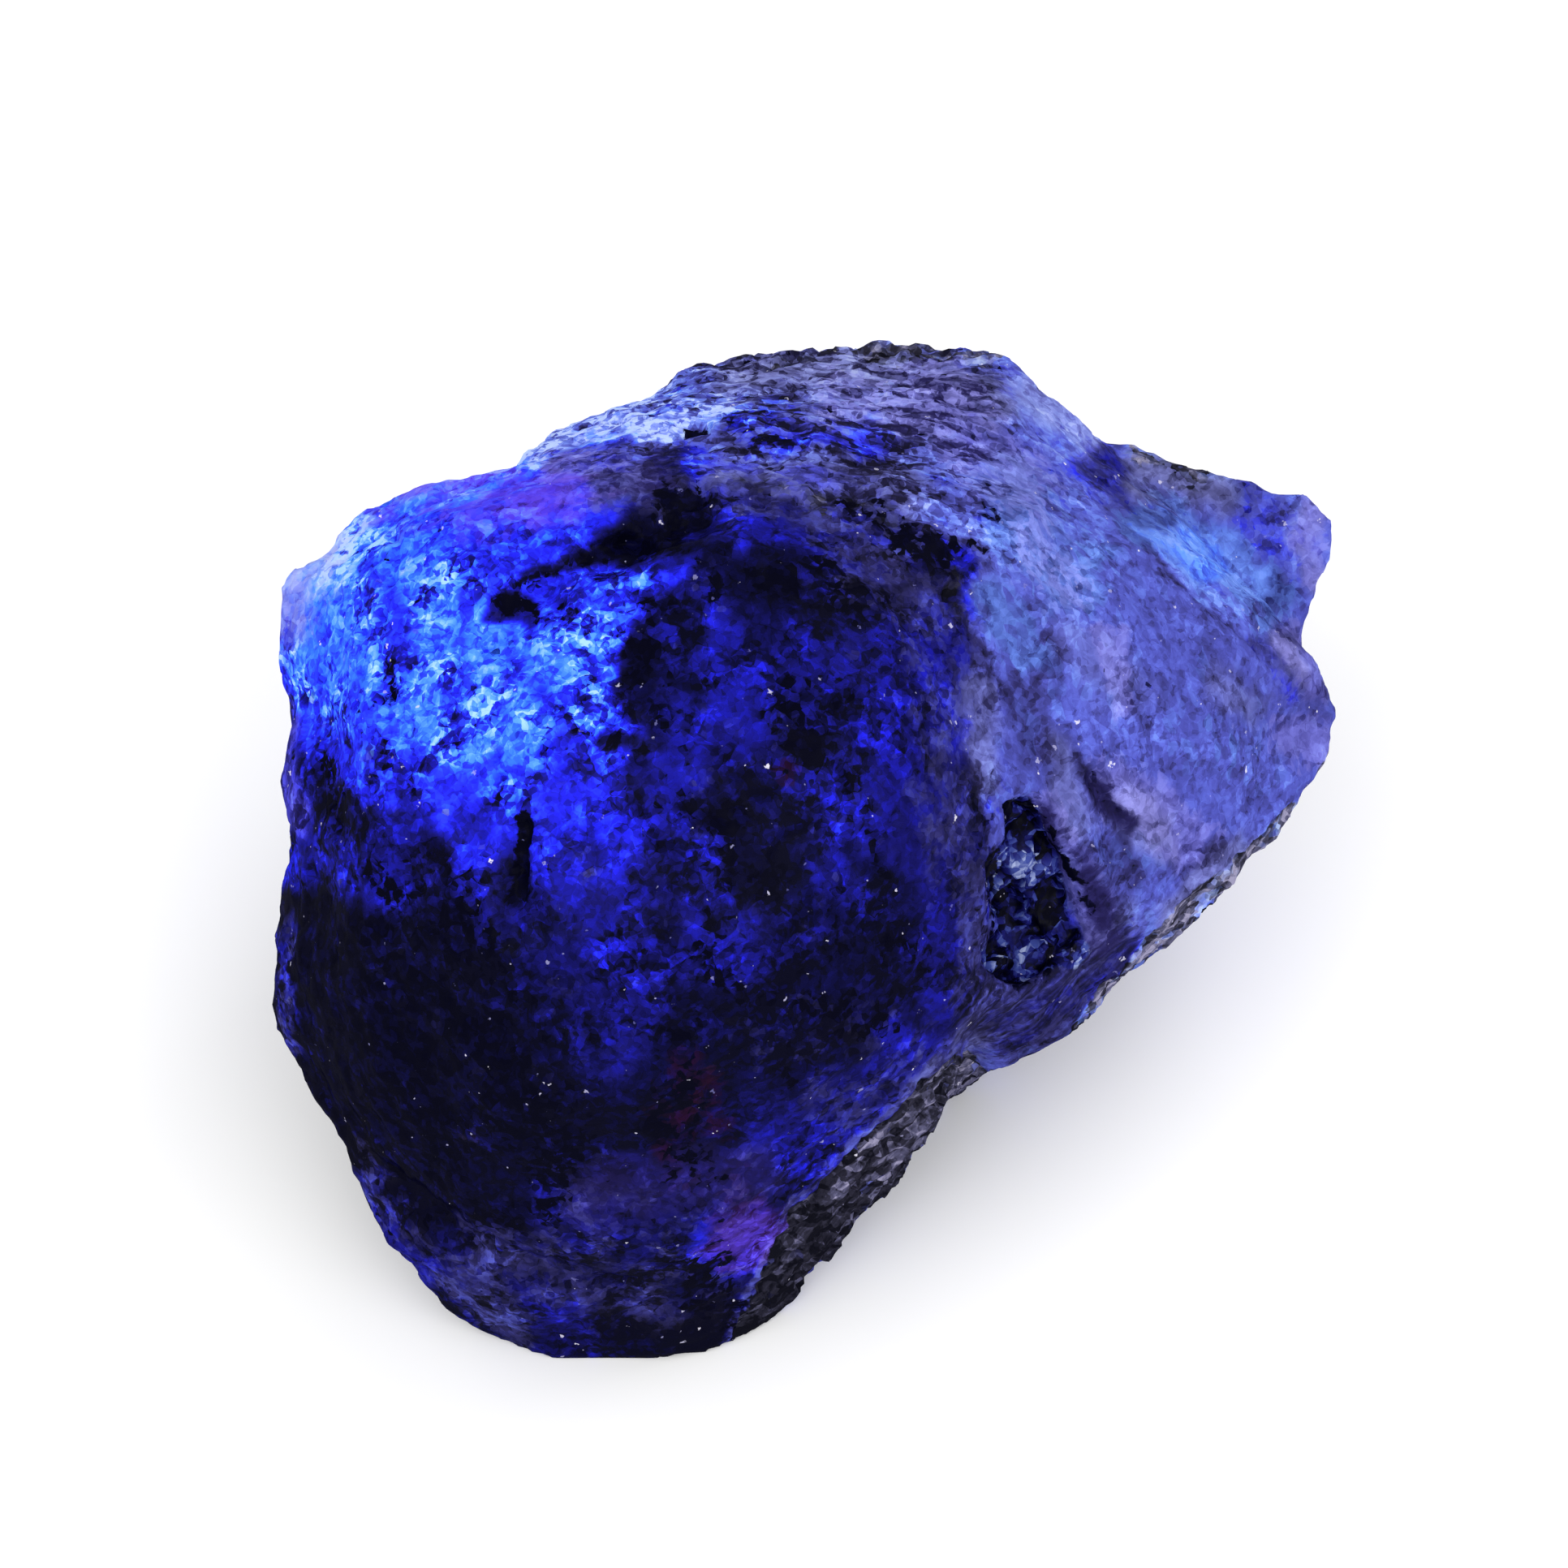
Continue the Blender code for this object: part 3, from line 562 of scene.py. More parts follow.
SEAMS = [
    (-14.7, -2, -14.9, -6.8, 0.46, 0.9), (-4.8, 17.2, -4.7, 15.2, 0.25, 0.8),
    (-8, 13.8, -10.5, 12.9, 0.5, 0.9), (-10.5, 12.9, -12.4, 12.3, 0.3, 0.62),
    (-22.3, 6, -22.2, 4.8, 0.4, 0.45), (-22.6, 13.6, -22.4, 12.2, 0.35, 0.5),
    (-25.6, 1, -25.3, -2.2, 0.5, 0.7), (15.6, 3.4, 17.6, 0.2, 0.4, 0.36),
    (17.6, 0.2, 18.8, -1.6, 0.5, 0.46), (13.1, -1.2, 12.4, -3.6, 0.4, 0.8),
    (12.4, -3.6, 11.9, -8.4, 0.45, 0.75), (14.6, -2.2, 17.2, -7, 0.4, 0.8),
    (14.8, -9.6, 16.6, -9.4, 0.5, 0.6), (-5.6, 19.9, -4.9, 20.1, 0.3, 1),
    (14.8, -8.8, 16.2, -9.6, 0.9, 0.46), (12, -10.8, 14, -10.9, 0.4, 0.7),
    (13.2, -9.6, 14.6, -10.4, 0.7, 0.5),
]

black = np.maximum(cover(MICA, SOFTEST), cover(SEAMS, EVEN, steady))
black = np.maximum(black, (0.16 + 0.55 * grain(points, 7.0, 4)) * hidden)
print("mean ink", black.mean().round(2))

# %% [markdown]
# ## Crust
# The broken rim is a grey crust in layers, which thins out to the right. A few rags of it lie along the top
# and on the knob, and the hidden side has large patches.

# %% Crust
RIM_CRUST = (9.0, 16.0), (0.85, 0.66)  # across in mm, and how thick the crust is there
CRUSTY = [
    (-4, 24.2, 3, 24.6, 0.9, 0.46), (-3, 16.6, 6, 15.4, 0.9, 0.42), (20, 18.6, 25, 17.4, 0.9, 0.5),
    (5, 24.6, 12, 24.2, 0.9, 0.5), (22, 17.2, 24, 16.6, 0.8, 0.5), (9.2, 12.6, 10, 9.5, 0.8, 0.5),
]

crust = fade(0.0, 0.5, rim) * np.interp(seen[:, 0], *RIM_CRUST)
crust = np.maximum(crust, (0.35 + 0.6 * grain(points, 9.0, 3)) * hidden)
crust = np.maximum(crust, cover(CRUSTY, EVEN))
print("mean crust", crust.mean().round(2))

# %% [markdown]
# ## Violet, magenta and red
# Corundum takes its colour from traces of metals, and they aren't spread evenly. Rags of lavender lie on the
# brow, the top and the right side, a stronger magenta on the brow and by the foot, and a dark red stain low
# on the front.

# %% Stains
VIOLET = [
    (-12.6, 17.6, -7.4, 17.4, 1.4, 0.8), (8, 22, 13, 17, 2.5, 0.8), (14, 14.5, 16, 11, 1.6, 0.7),
    (18.3, 8.6, 19.1, 4, 0.8, 1), (29.6, 16, 30.2, 12, 0.9, 0.9), (19.4, -0.4, 22.6, -3.2, 1.8, 1),
    (28.6, 8, 30.4, 5.6, 1.3, 1), (28.8, 2.8, 30.6, 1, 1.4, 1), (15, -1.6, 17.8, -8.4, 1.2, 0.9),
    (-10, -23, -2, -22, 2.4, 0.7), (-29, 4, -28, -2, 1.6, 0.7), (3, 21.4, 10, 21.6, 1.6, 0.7),
    (-28.5, 8.5, -26.5, 13.5, 1.6, 0.6),
]
MAGENTA = [
    (-24, 16, -16, 17.8, 1, 0.75), (-3.2, -25.6, 0, -25.4, 1.8, 0.9), (-6, -21.5, -3, -23.5, 1.8, 0.4),
    (-18, 15.6, -12, 16.4, 2.4, 0.62), (-11.6, 16.4, -10, 16.4, 1.2, 0.5), (-24, 15, -20, 15, 1.2, 0.5),
]
RED = [
    (-6, -15, -6.2, -20, 1.4, 0.55), (-4, -17, -3.5, -19, 1, 0.5), (-0.6, 1.2, 0.4, 0.4, 0.6, 0.5),
]

violet = cover(VIOLET)
magenta, red = cover(MAGENTA, SOFTEST), cover(RED, SOFTEST)
print("mean violet", violet.mean().round(2), "magenta", magenta.mean().round(2))

# %% [markdown]
# ## The pit, layers and painted glints
# A small pit on the right side shows dark glassy facets. Below it and on its right the stone is layered,
# which `strata` says, and so is the top as far as the knob. The painted glints are thickest round the pit
# and on the knob, and rare in the black.

# %% Pit, layers and painted glints
PIT = [
    (13.6, -1.8, 13.8, -5, 1, 1), (13.5, -5, 14.4, -8.8, 1.9, 1), (12.8, -9.6, 15.8, -9.2, 1.3, 1),
]
STRATA = [
    (11.5, -13, 17.5, -10.6, 2, 1), (17, -3, 19.5, -8.5, 1.2, 0.8), (19, -8.6, 22, -6, 0.9, 0.7),
    (15.8, -2, 17.2, -6, 0.8, 0.6),
]
GLINTY = [
    (18.5, 18, 24, 17.4, 2, 1), (14.6, -0.2, 15.4, -1.8, 0.9, 1.3), (15, 5, 15, 0, 1.2, 0.8),
    (15.5, -9.6, 18.5, -10.8, 1, 0.9), (12.2, -2.6, 12, -6, 0.7, 0.8), (22, 1, 25, 2, 2, 0.5),
    (-6.2, 11.8, -5.4, 9.4, 1, 0.7), (2, 14.6, 9, 11, 1.4, 0.5), (9, -3, 11, -4, 1.2, 0.7),
]
DULL = [
    (-22, -8, -18, -24, 7, 0.5),
]

pit = cover(PIT, CRISP, steady)
strata = cover(STRATA)
layered = top * facing * fade(15.0, 8.0, steady[:, 0])
sparkly = cover(GLINTY) - cover(DULL)
print("mean pit", pit.mean().round(3), "strata", strata.mean().round(2))

# %% [markdown]
# ## Ash, azure, calm and painted glow
# Four more masks steer how the colour is mixed. Ash greys it, and azure turns it to a clean sky blue. Calm
# holds the blotches back where the stone is even, as on most of the right side. The painted glow marks the
# bare blue where the light that shone through is painted into the colour.

# %% Ash, azure, calm and painted glow
CALM_FACES = 0.75  # on the right side, and on the top where it meets it
ASHEN = [
    (-2, 23.4, 6, 23.6, 1.8, 1), (2, 21, 8, 20.8, 1.6, 0.6), (8, 22.6, 12, 21.6, 1.4, 0.9),
    (14, 22.4, 17, 19.4, 1, 0.7), (20.2, 17.6, 24.6, 16.6, 1.1, 1), (24.4, 5.6, 26.2, 4.4, 1, 0.6),
    (-3, 17.6, 7, 16.4, 1.2, 0.7), (10.8, 5, 11.4, 0, 0.9, 0.7), (15.4, 2, 16.4, -2, 0.9, 0.7),
    (19.4, -1, 21, -3, 1.2, 1), (28.2, 8, 28.8, 6.4, 0.8, 1), (22, -7, 26, -3.6, 0.8, 0.8),
    (29.2, 15, 30, 12, 0.8, 0.6), (13, -12, 19, -8, 1.4, 0.6), (0, -26, 11, -14.4, 1, 0.8),
    (16.6, 8, 19.4, 5, 1.2, 0.4),
]
AZURED = [
    (20.6, 14.6, 24.4, 12.6, 1.5, 1), (24, 12.2, 27.4, 10.6, 1.4, 0.8), (12, 10.4, 13.6, 7.4, 1.2, 0.7),
    (13, 15, 16, 12, 2, 0.8), (12, 17.5, 14, 16, 1.4, 0.6),
]
CALM = [
    (-21, 15.5, -11, 16.2, 2.6, 0.75), (-28, 13, -26, 8, 2.2, 0.8), (8.5, 10, 10, -3, 2, 0.5),
    (8.5, -3, 9, -12, 2, 0.5), (3, -18, 7, -15, 1.6, 0.5),
]

ashen, azured = cover(ASHEN), cover(AZURED)
calm = np.maximum(CALM_FACES * (right + top * fade(10.0, 17.0, steady[:, 0])), cover(CALM))
# painted glow: where the light that shone through the stone is painted into its colour
glow = fade(0.45, 0.75, light) * front * facing * (1.0 - 0.7 * dusty)
print("mean calm", calm.mean().round(2), "glow", glow.mean().round(2))

# %% [markdown]
# A material can't read numpy arrays, so each mask is written on the skin as an attribute of its points.

# %% Write the masks on the skin
def paint_on(name, value):
    """Writes a value on the skin's points, where the material can read it."""
    stone.data.attributes.new(name, "FLOAT", "POINT").data.foreach_set("value", value.astype(np.float32))
    print(f"{name:7s} {value.min():5.2f} to {value.max():5.2f}, mean {value.mean():.2f}")


MASKS = {"light": light, "dusty": dusty, "black": black, "crust": crust, "violet": violet,
         "magenta": magenta, "red": red, "pit": pit, "glow": glow, "layered": layered,
         "strata": strata, "sparkly": sparkly, "calm": calm, "ashen": ashen, "azured": azured}
for name, value in MASKS.items():
    paint_on(name, value)

# %% [markdown]
# ## The relief
# Real broken corundum is never smooth: sugary grains all over, small pits on the round front, thin layers
# that end in steps on the rim, and long streaks on the top where the layers lie flat. Nearly all of it is
# only a few tenths of a millimetre high, so it doesn't change the size of the stone, and only the pit and the
# groove under the brow go deeper than a millimetre. Each kind is a height, and the masks say where it
# belongs. The heights are added up, and every point moves along its own normal.
#
# Plain noise makes round lumps, so four helpers make the rest. `cells()` gives grains and pits, `drawn_out()`
# turns lumps into streaks, `steps()` stacks thin layers, and `blocks()` breaks the rim into small blocks.

# %% Helpers for the relief
ALONG_RIM, ALONG_TOP = (0.71, 0.54, 0.46), (0.98, -0.15, -0.14)  # which way the layers run
BEND_LAYERS, TILT_LAYERS = 1.2, 0.25  # how far the layers wave, in mm, and how steeply they lean
UNLIKE = 9.7  # spreads the blocks' centres, so that each gets its own height


def cells(points, size):
    """Distances to the two nearest scattered centres, in cells of that size in mm."""
    found = np.array([noise.voronoi(Vector(p))[0][:2] for p in points / size])
    return found[:, 0], found[:, 1]


def drawn_out(points, along, wide, long):
    """Places squeezed along a direction, so that noise on them lies in streaks of those sizes in mm."""
    along = np.array(along) / np.linalg.norm(along)
    return points / wide + np.outer(points @ along, along) * (1.0 / long - 1.0 / wide)


def steps(points, thickness):
    """Layers of that thickness, stacked out of the drawing plane: 1 where two meet, 0 in between."""
    depth = look(points)[:, 2] + BEND_LAYERS * grain(points, 5.0, 2) + TILT_LAYERS * points[:, 0]
    place = depth / thickness
    return np.abs((place % 1.0) - 0.5) * 2.0


def blocks(points, wide, long):
    """Blocks that lie along the rim, each at its own height from -0.5 to 0.5; sizes in mm."""
    centres = [noise.voronoi(Vector(p))[1][0] for p in drawn_out(points, ALONG_RIM, wide, long)]
    return np.array([noise.cell(centre * UNLIKE) - 0.5 for centre in centres])


print("layers run along", ALONG_RIM, "on the rim and", ALONG_TOP, "on the top")

# %% Lumps, grains and small pits
LUMP_HEIGHT, LUMP_WAVE = 0.15, 3.2  # all of these are in mm
SUGAR_HEIGHT, SUGAR_WAVE = 0.11, 1.3
GRAIN_HEIGHT, GRAIN_SIZE = 0.10, 1.5
HOLE_DEPTH, HOLE_SIZE = 0.32, 1.9

height = LUMP_HEIGHT * grain(points, LUMP_WAVE, 3) + SUGAR_HEIGHT * grain(points, SUGAR_WAVE, 3)
near, next_near = cells(points, GRAIN_SIZE)
height += GRAIN_HEIGHT * (fade(0.0, 0.5, next_near - near) - 0.6) * (front + 0.6 * right) * facing
holes, _ = cells(points, HOLE_SIZE)
height -= HOLE_DEPTH * fade(0.30, 0.12, holes) * (0.5 + glow)
print("grains from", height.min().round(2), "to", height.max().round(2), "mm")

# %% [markdown]
# The crust, the pit and the hidden side are rough: they get the steps, and streaks that run along the rim.
# The layered parts get finer streaks. Blocks stand out of the crust, flatter to the right, and in the pit
# they are its facets.

# %% Steps, streaks and blocks
HIDDEN_ROUGH = 0.35  # how rough the hidden side is, where the crust is 1
STEP_HEIGHT, STEP_THICKNESS = 0.30, 1.5
CRUMB_HEIGHT, CRUMB_WAVE = 0.12, 1.8
RIM_STREAK_HEIGHT, STRATA_HEIGHT, TOP_STREAK_HEIGHT = 0.16, 0.10, 0.30
BLOCK_HEIGHT = (9.0, 16.0), (0.55, 0.20)  # across in mm, and the height there
FACET_HEIGHT, PIT_DEPTH = 0.8, 0.5
ANY = 0.01  # a mask above this is worth the work

rough = np.clip(crust + pit + hidden * HIDDEN_ROUGH, 0.0, 1.0)
layers = STEP_HEIGHT * (steps(points, STEP_THICKNESS) - 0.5)
height += rough * (layers + CRUMB_HEIGHT * grain(points, CRUMB_WAVE, 3))
height += RIM_STREAK_HEIGHT * rough * grain(drawn_out(points, ALONG_RIM, 0.9, 4.5), 1.0, 3)
height += STRATA_HEIGHT * strata * grain(drawn_out(points, ALONG_RIM, 0.6, 5.0), 1.0, 2)
height += TOP_STREAK_HEIGHT * grain(drawn_out(points, ALONG_TOP, 0.75, 3.4), 1.0, 3) * layered

broken = crust * facing > ANY
flatter = np.interp(seen[broken, 0], *BLOCK_HEIGHT)
height[broken] += flatter * crust[broken] * blocks(points[broken], 0.9, 2.4)
inside = pit > ANY
height[inside] += FACET_HEIGHT * pit[inside] * blocks(points[inside], 1.2, 1.6)
height -= PIT_DEPTH * pit
print("relief from", height.min().round(2), "to", height.max().round(2), "mm")

# %% [markdown]
# A few features are too sharp for noise, so they are cut one by one: the groove under the brow, a short
# upright crack, slots on the left, and the breaks along the foot. They are strokes again, laid at the steady
# places, with a depth in mm for a level, and a little grain makes the cuts ragged.

# %% Cuts
CUTS = [
    (-5.2, 15.4, -8.6, 13.9, 0.9, 0.7), (-8.6, 13.8, -11, 13, 0.5, 0.45), (-11, 13, -13.4, 12, 0.3, 0.3),
    (-4.9, 17.4, -4.7, 15.4, 0.4, 0.4), (-14.8, -2.3, -14.9, -6.6, 0.42, 0.7),
    (-22.2, 6, -22.3, 4.2, 0.4, 0.5), (-22, 13.8, -22.2, 11.5, 0.4, 0.5),
    (-25.8, 0.7, -25.2, -2.4, 0.5, 0.6), (-5.5, 20, -4.7, 20.1, 0.4, 0.7), (-23, -21.5, -17, -26, 0.6, 0.4),
    (-17, -26, -9, -28.6, 0.6, 0.35), (15.8, 2.8, 17.6, 0.2, 0.4, 0.35), (17.6, 0.2, 19.2, -2.6, 0.5, 0.5),
]
LEDGE_HEIGHT = 0.25  # in mm

ragged = 0.4 + 0.8 * fade(-0.35, 0.25, grain(points, 1.4, 2))
for *ends, radius, depth in CUTS:
    height -= depth * ragged * stroke(ends, radius, SOFT, steady) * facing
height += LEDGE_HEIGHT * ledge
print(len(CUTS), "cuts")

# %% [markdown]
# The base is left flat, because the stone rests on it: the relief fades out just above the floor, and the
# points that rest are put on it. Nothing may leave the box of the imported model. The heights are written on
# the skin too, so that the colour can be lighter on what stands proud and darker where it lies low, partly
# as wear and partly as painted shade.

# %% Move the points
RELIEF_STARTS = (0.1, 1.6)  # over the floor, in mm
RESTING_BELOW, FACING_DOWN = 0.25, -0.7

height *= fade(*RELIEF_STARTS, points[:, 2])
moved = points + normals * height[:, None]
# the colour reads these heights: lighter where they stand proud, darker with painted shade where they lie low
paint_on("proud", height)
resting = (points[:, 2] < RESTING_BELOW) & (normals[:, 2] < FACING_DOWN)
moved[resting, 2] = 0.0
lowest, highest = (np.array(corner) / MM for corner in cad_box)
moved = np.clip(moved, lowest, highest)
stone.data.vertices.foreach_set("co", (moved * MM).astype(np.float32).ravel())
stone.data.update()

put_away()
stone.select_set(True)
bpy.context.view_layer.objects.active = stone
bpy.ops.object.shade_smooth()
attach(stone, "root")
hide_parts("sapphire")
triangles = sum(len(face.vertices) - 2 for face in stone.data.polygons)
print("triangles:", triangles, "flat points on the floor:", int(resting.sum()))


# %% [markdown]
# ## Writing a finish as sums
# A material is a net of nodes, and most of them do plain arithmetic. `Wire` wraps the socket that a value
# comes out of, so that `light + 0.3 * blotch` adds the Math nodes by itself. `Finish.add` makes any other
# node: its settings are set first, because some of them change which sockets it has.

# %% Wires and finishes
class Wire:
    """A value in a material that can be added, taken away, multiplied and divided."""

    def __init__(self, finish, socket):
        self.finish, self.socket = finish, socket

    def sum(self, operation, first, second):
        return self.finish.add("Math", {"operation": operation}, {0: first, 1: second})

    def __add__(self, other):
        return self.sum("ADD", self, other)

    def __sub__(self, other):
        return self.sum("SUBTRACT", self, other)

    def __rsub__(self, other):
        return self.sum("SUBTRACT", other, self)

    def __mul__(self, other):
        return self.sum("MULTIPLY", self, other)

    def __truediv__(self, other):
        return self.sum("DIVIDE", self, other)

    __radd__, __rmul__ = __add__, __mul__


class Finish:
    """A material and its nodes; sizes on every pattern are in mm."""

    def __init__(self, name):
        self.material = bpy.data.materials.new(name)
        self.material.use_nodes = True
        self.tree = self.material.node_tree
        self.surface = self.tree.nodes["Principled BSDF"]
        spot = self.add("TexCoord", output="Object")
        self.place = self.add("VectorMath", {"operation": "SCALE"}, {0: spot, "Scale": 1.0 / MM})

    def add(self, kind, settings=(), values=(), output=0):
        """A node of that kind with its settings made first and then its sockets given values or wires."""
        node = self.tree.nodes.new("ShaderNode" + kind)
        for name, setting in dict(settings).items():
            if name == "stops":
                self.set_stops(node.color_ramp.elements, setting)
            else:
                setattr(node, name, setting)
        self.link(node, dict(values))
        return Wire(self, node.outputs[output])

    def set_stops(self, elements, stops):
        """Gives a ramp its stops; a new ramp has two, and stops are moved before they are coloured."""
        for at, colour in stops[2:]:
            elements.new(at)
        for element, (at, colour) in zip(elements, stops):
            element.position = at
        for element, (at, colour) in zip(elements, stops):
            element.color = colour

    def link(self, node, values):
        """Gives a node's sockets their values or wires."""
        for name, value in values.items():
            if isinstance(value, Wire):
                self.tree.links.new(value.socket, node.inputs[name])
            else:
                node.inputs[name].default_value = value

    def painted(self, name):
        """A mask that was painted on the skin."""
        return self.add("Attribute", {"attribute_name": name}, output="Fac")

    def cloud(self, size, detail=4.0, roughness=0.6, distortion=0.0, at=None):
        """Soft noise from 0 to 1 with lumps of that size in mm."""
        return self.add("TexNoise", {"noise_dimensions": "3D"},
                        {"Vector": at or self.place, "Scale": 1.0 / size, "Detail": detail,
                         "Roughness": roughness, "Distortion": distortion})

    def rise(self, low, high, value):
        """0 below low, 1 above high, and a smooth rise between."""
        return self.add("MapRange", {"interpolation_type": "SMOOTHSTEP"},
                        {"Value": value, "From Min": low, "From Max": high})

    def blend(self, mask, under, over):
        """One colour over another where the mask is 1."""
        return self.add("Mix", {"data_type": "RGBA", "blend_type": "MIX", "clamp_factor": True},
                        {0: mask, 6: under, 7: over}, output=2)

    def ramp(self, stops, value, full=1.0):
        """A colour for each value; a stop is (value, colour from 0 to 255), and full is the right end."""
        stops = [(at / full, shade(*colour)) for at, colour in stops]
        return self.add("ValToRGB", {"stops": stops}, {0: value})


def shade(red, green, blue):
    """A colour from 0 to 255 as a screen shows it, turned into linear light."""
    return tuple((c / 255 / 12.92) if c < 10.3 else ((c / 255 + 0.055) / 1.055) ** 2.4
                 for c in (red, green, blue)) + (1.0,)


print("ink black is", [round(c, 4) for c in shade(13, 13, 20)])

# %% [markdown]
# ## The sapphire's colour
# Two ramps turn lightness into colour: one for bare stone, which runs from ink through royal and electric
# blue to cyan, and one for stone under its pale violet film of dust and painted sheen. The lightness is
# broken up at three scales, as the stone is: blotches of a few millimetres, grains of half a millimetre,
# and specks. Then the ink, the crust, the purple and the red go over it, and last the painted white glints
# of mica.
#
# The masks come in first, and from here on their names stand for wires.

# %% The masks as wires
blue = Finish("raw sapphire")
light, dusty, black, crust = map(blue.painted, ("light", "dusty", "black", "crust"))
violet, magenta, red, pit, glow = map(blue.painted, ("violet", "magenta", "red", "pit", "glow"))
layered, proud, strata, sparkly = map(blue.painted, ("layered", "proud", "strata", "sparkly"))
calm, ashen, azured = map(blue.painted, ("calm", "ashen", "azured"))
print("masks in the finish:", len(MASKS) + 1)

# %% [markdown]
# Smooth noise looks like smoke, and broken stone doesn't. `bent` pushes places about, so that cells lose
# their straight sides. `dab` then snaps each place to the centre of its cell, and noise that is read there
# comes out in small flat flakes, like dabs of a brush.

# %% Noise at three scales
BEND, EASE = 0.45, 0.2  # how far places are pushed about, in mm
DAB_SIZE = 0.34  # in mm

warp = blue.add("TexNoise", {"noise_dimensions": "3D"}, {"Vector": blue.place, "Scale": 1.1, "Detail": 1.0},
                output="Color")
bent = blue.add("VectorMath", {"operation": "MULTIPLY_ADD"}, {0: warp, 1: (BEND, BEND, BEND), 2: blue.place})
eased = blue.add("VectorMath", {"operation": "MULTIPLY_ADD"}, {0: warp, 1: (EASE, EASE, EASE), 2: blue.place})
dab = blue.add("TexVoronoi", {"feature": "F1"}, {"Vector": bent, "Scale": 1.0 / DAB_SIZE}, output="Position")

patch = blue.cloud(5.0, 3.0, 0.6) - 0.5
blotch = blue.cloud(2.2, 5.0, 0.66, 0.4, at=dab) - 0.5
fine = blue.cloud(0.5, 2.0, 0.6, at=dab) - 0.5


def crystals(size, detail, at):
    """Scattered crystals of that size in mm, each in its own shade; detail adds smaller ones among them."""
    sockets = {"Vector": at, "Scale": 1.0 / size, "Detail": detail, "Roughness": 0.7, "Lacunarity": 2.2}
    found = blue.add("TexVoronoi", {"feature": "F1", "normalize": True}, sockets, output="Color")
    return blue.add("SeparateColor", values={0: found}) - 0.5


sugar = crystals(1.1, 1.0, bent)
grit = crystals(0.42, 0.0, bent)
print("nodes so far:", len(blue.tree.nodes))


# %% [markdown]
# Where the stone is layered, the same noise is read at places that are drawn out along the layers: flat ones
# on the top, steep ones on the right side, and those of the rim.

# %% Streaks
FLAT_TURN, STEEP_TURN, RIM_TURN = (0.0, 0.14, -0.17), (0.0, 0.61, -0.99), (0.0, -0.47, 0.65)  # radians


def lie_along(turn, wide, long):
    """Coordinates drawn out along one direction; sizes in mm."""
    return blue.add("Mapping", {"vector_type": "TEXTURE"},
                    {"Vector": eased, "Rotation": turn, "Scale": (long, wide, wide)})


flat = lie_along(FLAT_TURN, 0.7, 2.6)
steep = lie_along(STEEP_TURN, 0.8, 1.5)
flat_streak = blue.cloud(1.0, 2.0, 0.6, at=flat) - 0.5
steep_streak = blue.cloud(1.6, 2.0, 0.6, at=steep) - 0.5
along_rim = lie_along(RIM_TURN, 0.5, 3.6)
rim_streak = blue.cloud(1.0, 3.0, 0.6, at=along_rim) - 0.5
slates = crystals(0.9, 0.0, flat)
slabs = crystals(0.7, 0.0, steep)
right_side = blue.rise(0.3, 0.9, dusty) * (1.0 - layered)
print("nodes with the streaks:", len(blue.tree.nodes))

# %% [markdown]
# All of that noise stirs the lightness. Small pits darken it with painted shade, and so do freckles on the
# right side. What stands proud is lighter and what lies low is darker, partly wear and partly painted shade.
# Some regions are busy and others quiet, and where the stone is calm the blotches are held back.

# %% Stir the lightness
# painted shade: small dark pits, and hollows that are darker than what stands proud
small_pit_shade = blue.rise(0.02, 0.10, blue.cloud(0.7, 2.0, 0.6, at=dab) - 0.5 + blotch * 0.6 - sugar * 0.2)
coarse = blotch + proud * 0.3 - small_pit_shade * (0.14 + 0.14 * glow)
small = fine * 0.4 + sugar * 0.4 + grit * (0.25 + 0.05 * glow)
freckles = blue.rise(0.07, 0.12, fine) * right_side
busy = blue.rise(-0.12, 0.14, blue.cloud(3.4, 2.0, 0.5) - 0.5)

stir = coarse * (1.0 - 0.8 * calm) + small * (1.0 - 0.4 * calm)
stir = stir * (0.55 + 0.65 * light) * (0.55 + 0.85 * busy)
stir = stir + (flat_streak * 1.1 + slates * 0.5 - small_pit_shade * 0.22) * layered
tone = light + stir + (steep_streak * 0.25 + slabs * 0.14) * right_side
tone = tone + rim_streak * strata * 1.1 - freckles * 0.16
print("nodes with the lightness:", len(blue.tree.nodes))

# %% [markdown]
# The two ramps turn it into colour, and the dust and painted sheen say which of them shows.

# %% The two ramps
FULL = 1.2  # the lightness at the right end of both ramps
BARE = [
    (0, (8, 8, 26)), (0.12, (11, 11, 54)), (0.25, (19, 18, 94)), (0.4, (24, 24, 150)),
    (0.55, (33, 34, 226)), (0.7, (42, 62, 252)), (0.85, (52, 112, 254)), (1, (90, 156, 254)),
    (1.15, (160, 205, 254)),
]
# the pale film ramp holds dust and painted sheen together
FILM_AND_SHEEN = [
    (0, (17, 16, 32)), (0.25, (46, 44, 96)), (0.5, (72, 76, 156)), (0.7, (91, 101, 194)),
    (0.85, (107, 127, 216)), (1, (140, 155, 244)), (1.15, (182, 200, 252)),
]

bare = blue.ramp(BARE, tone / FULL, FULL)
film_and_sheen = blue.ramp(FILM_AND_SHEEN, tone / FULL, FULL)
film_and_sheen_mask = blue.rise(0.25, 0.75, dusty + blotch * (1.6 - 0.8 * calm) + fine * 0.8 - freckles * 0.25)
colour = blue.blend(film_and_sheen_mask * 0.92, bare, film_and_sheen)
print("nodes with the ramps:", len(blue.tree.nodes))

# %% [markdown]
# Four tints go over that, each only in part. A tint runs from its dark to its pale shade as the stone gets
# lighter, so the grain below shows through. The red stain is one dark shade.

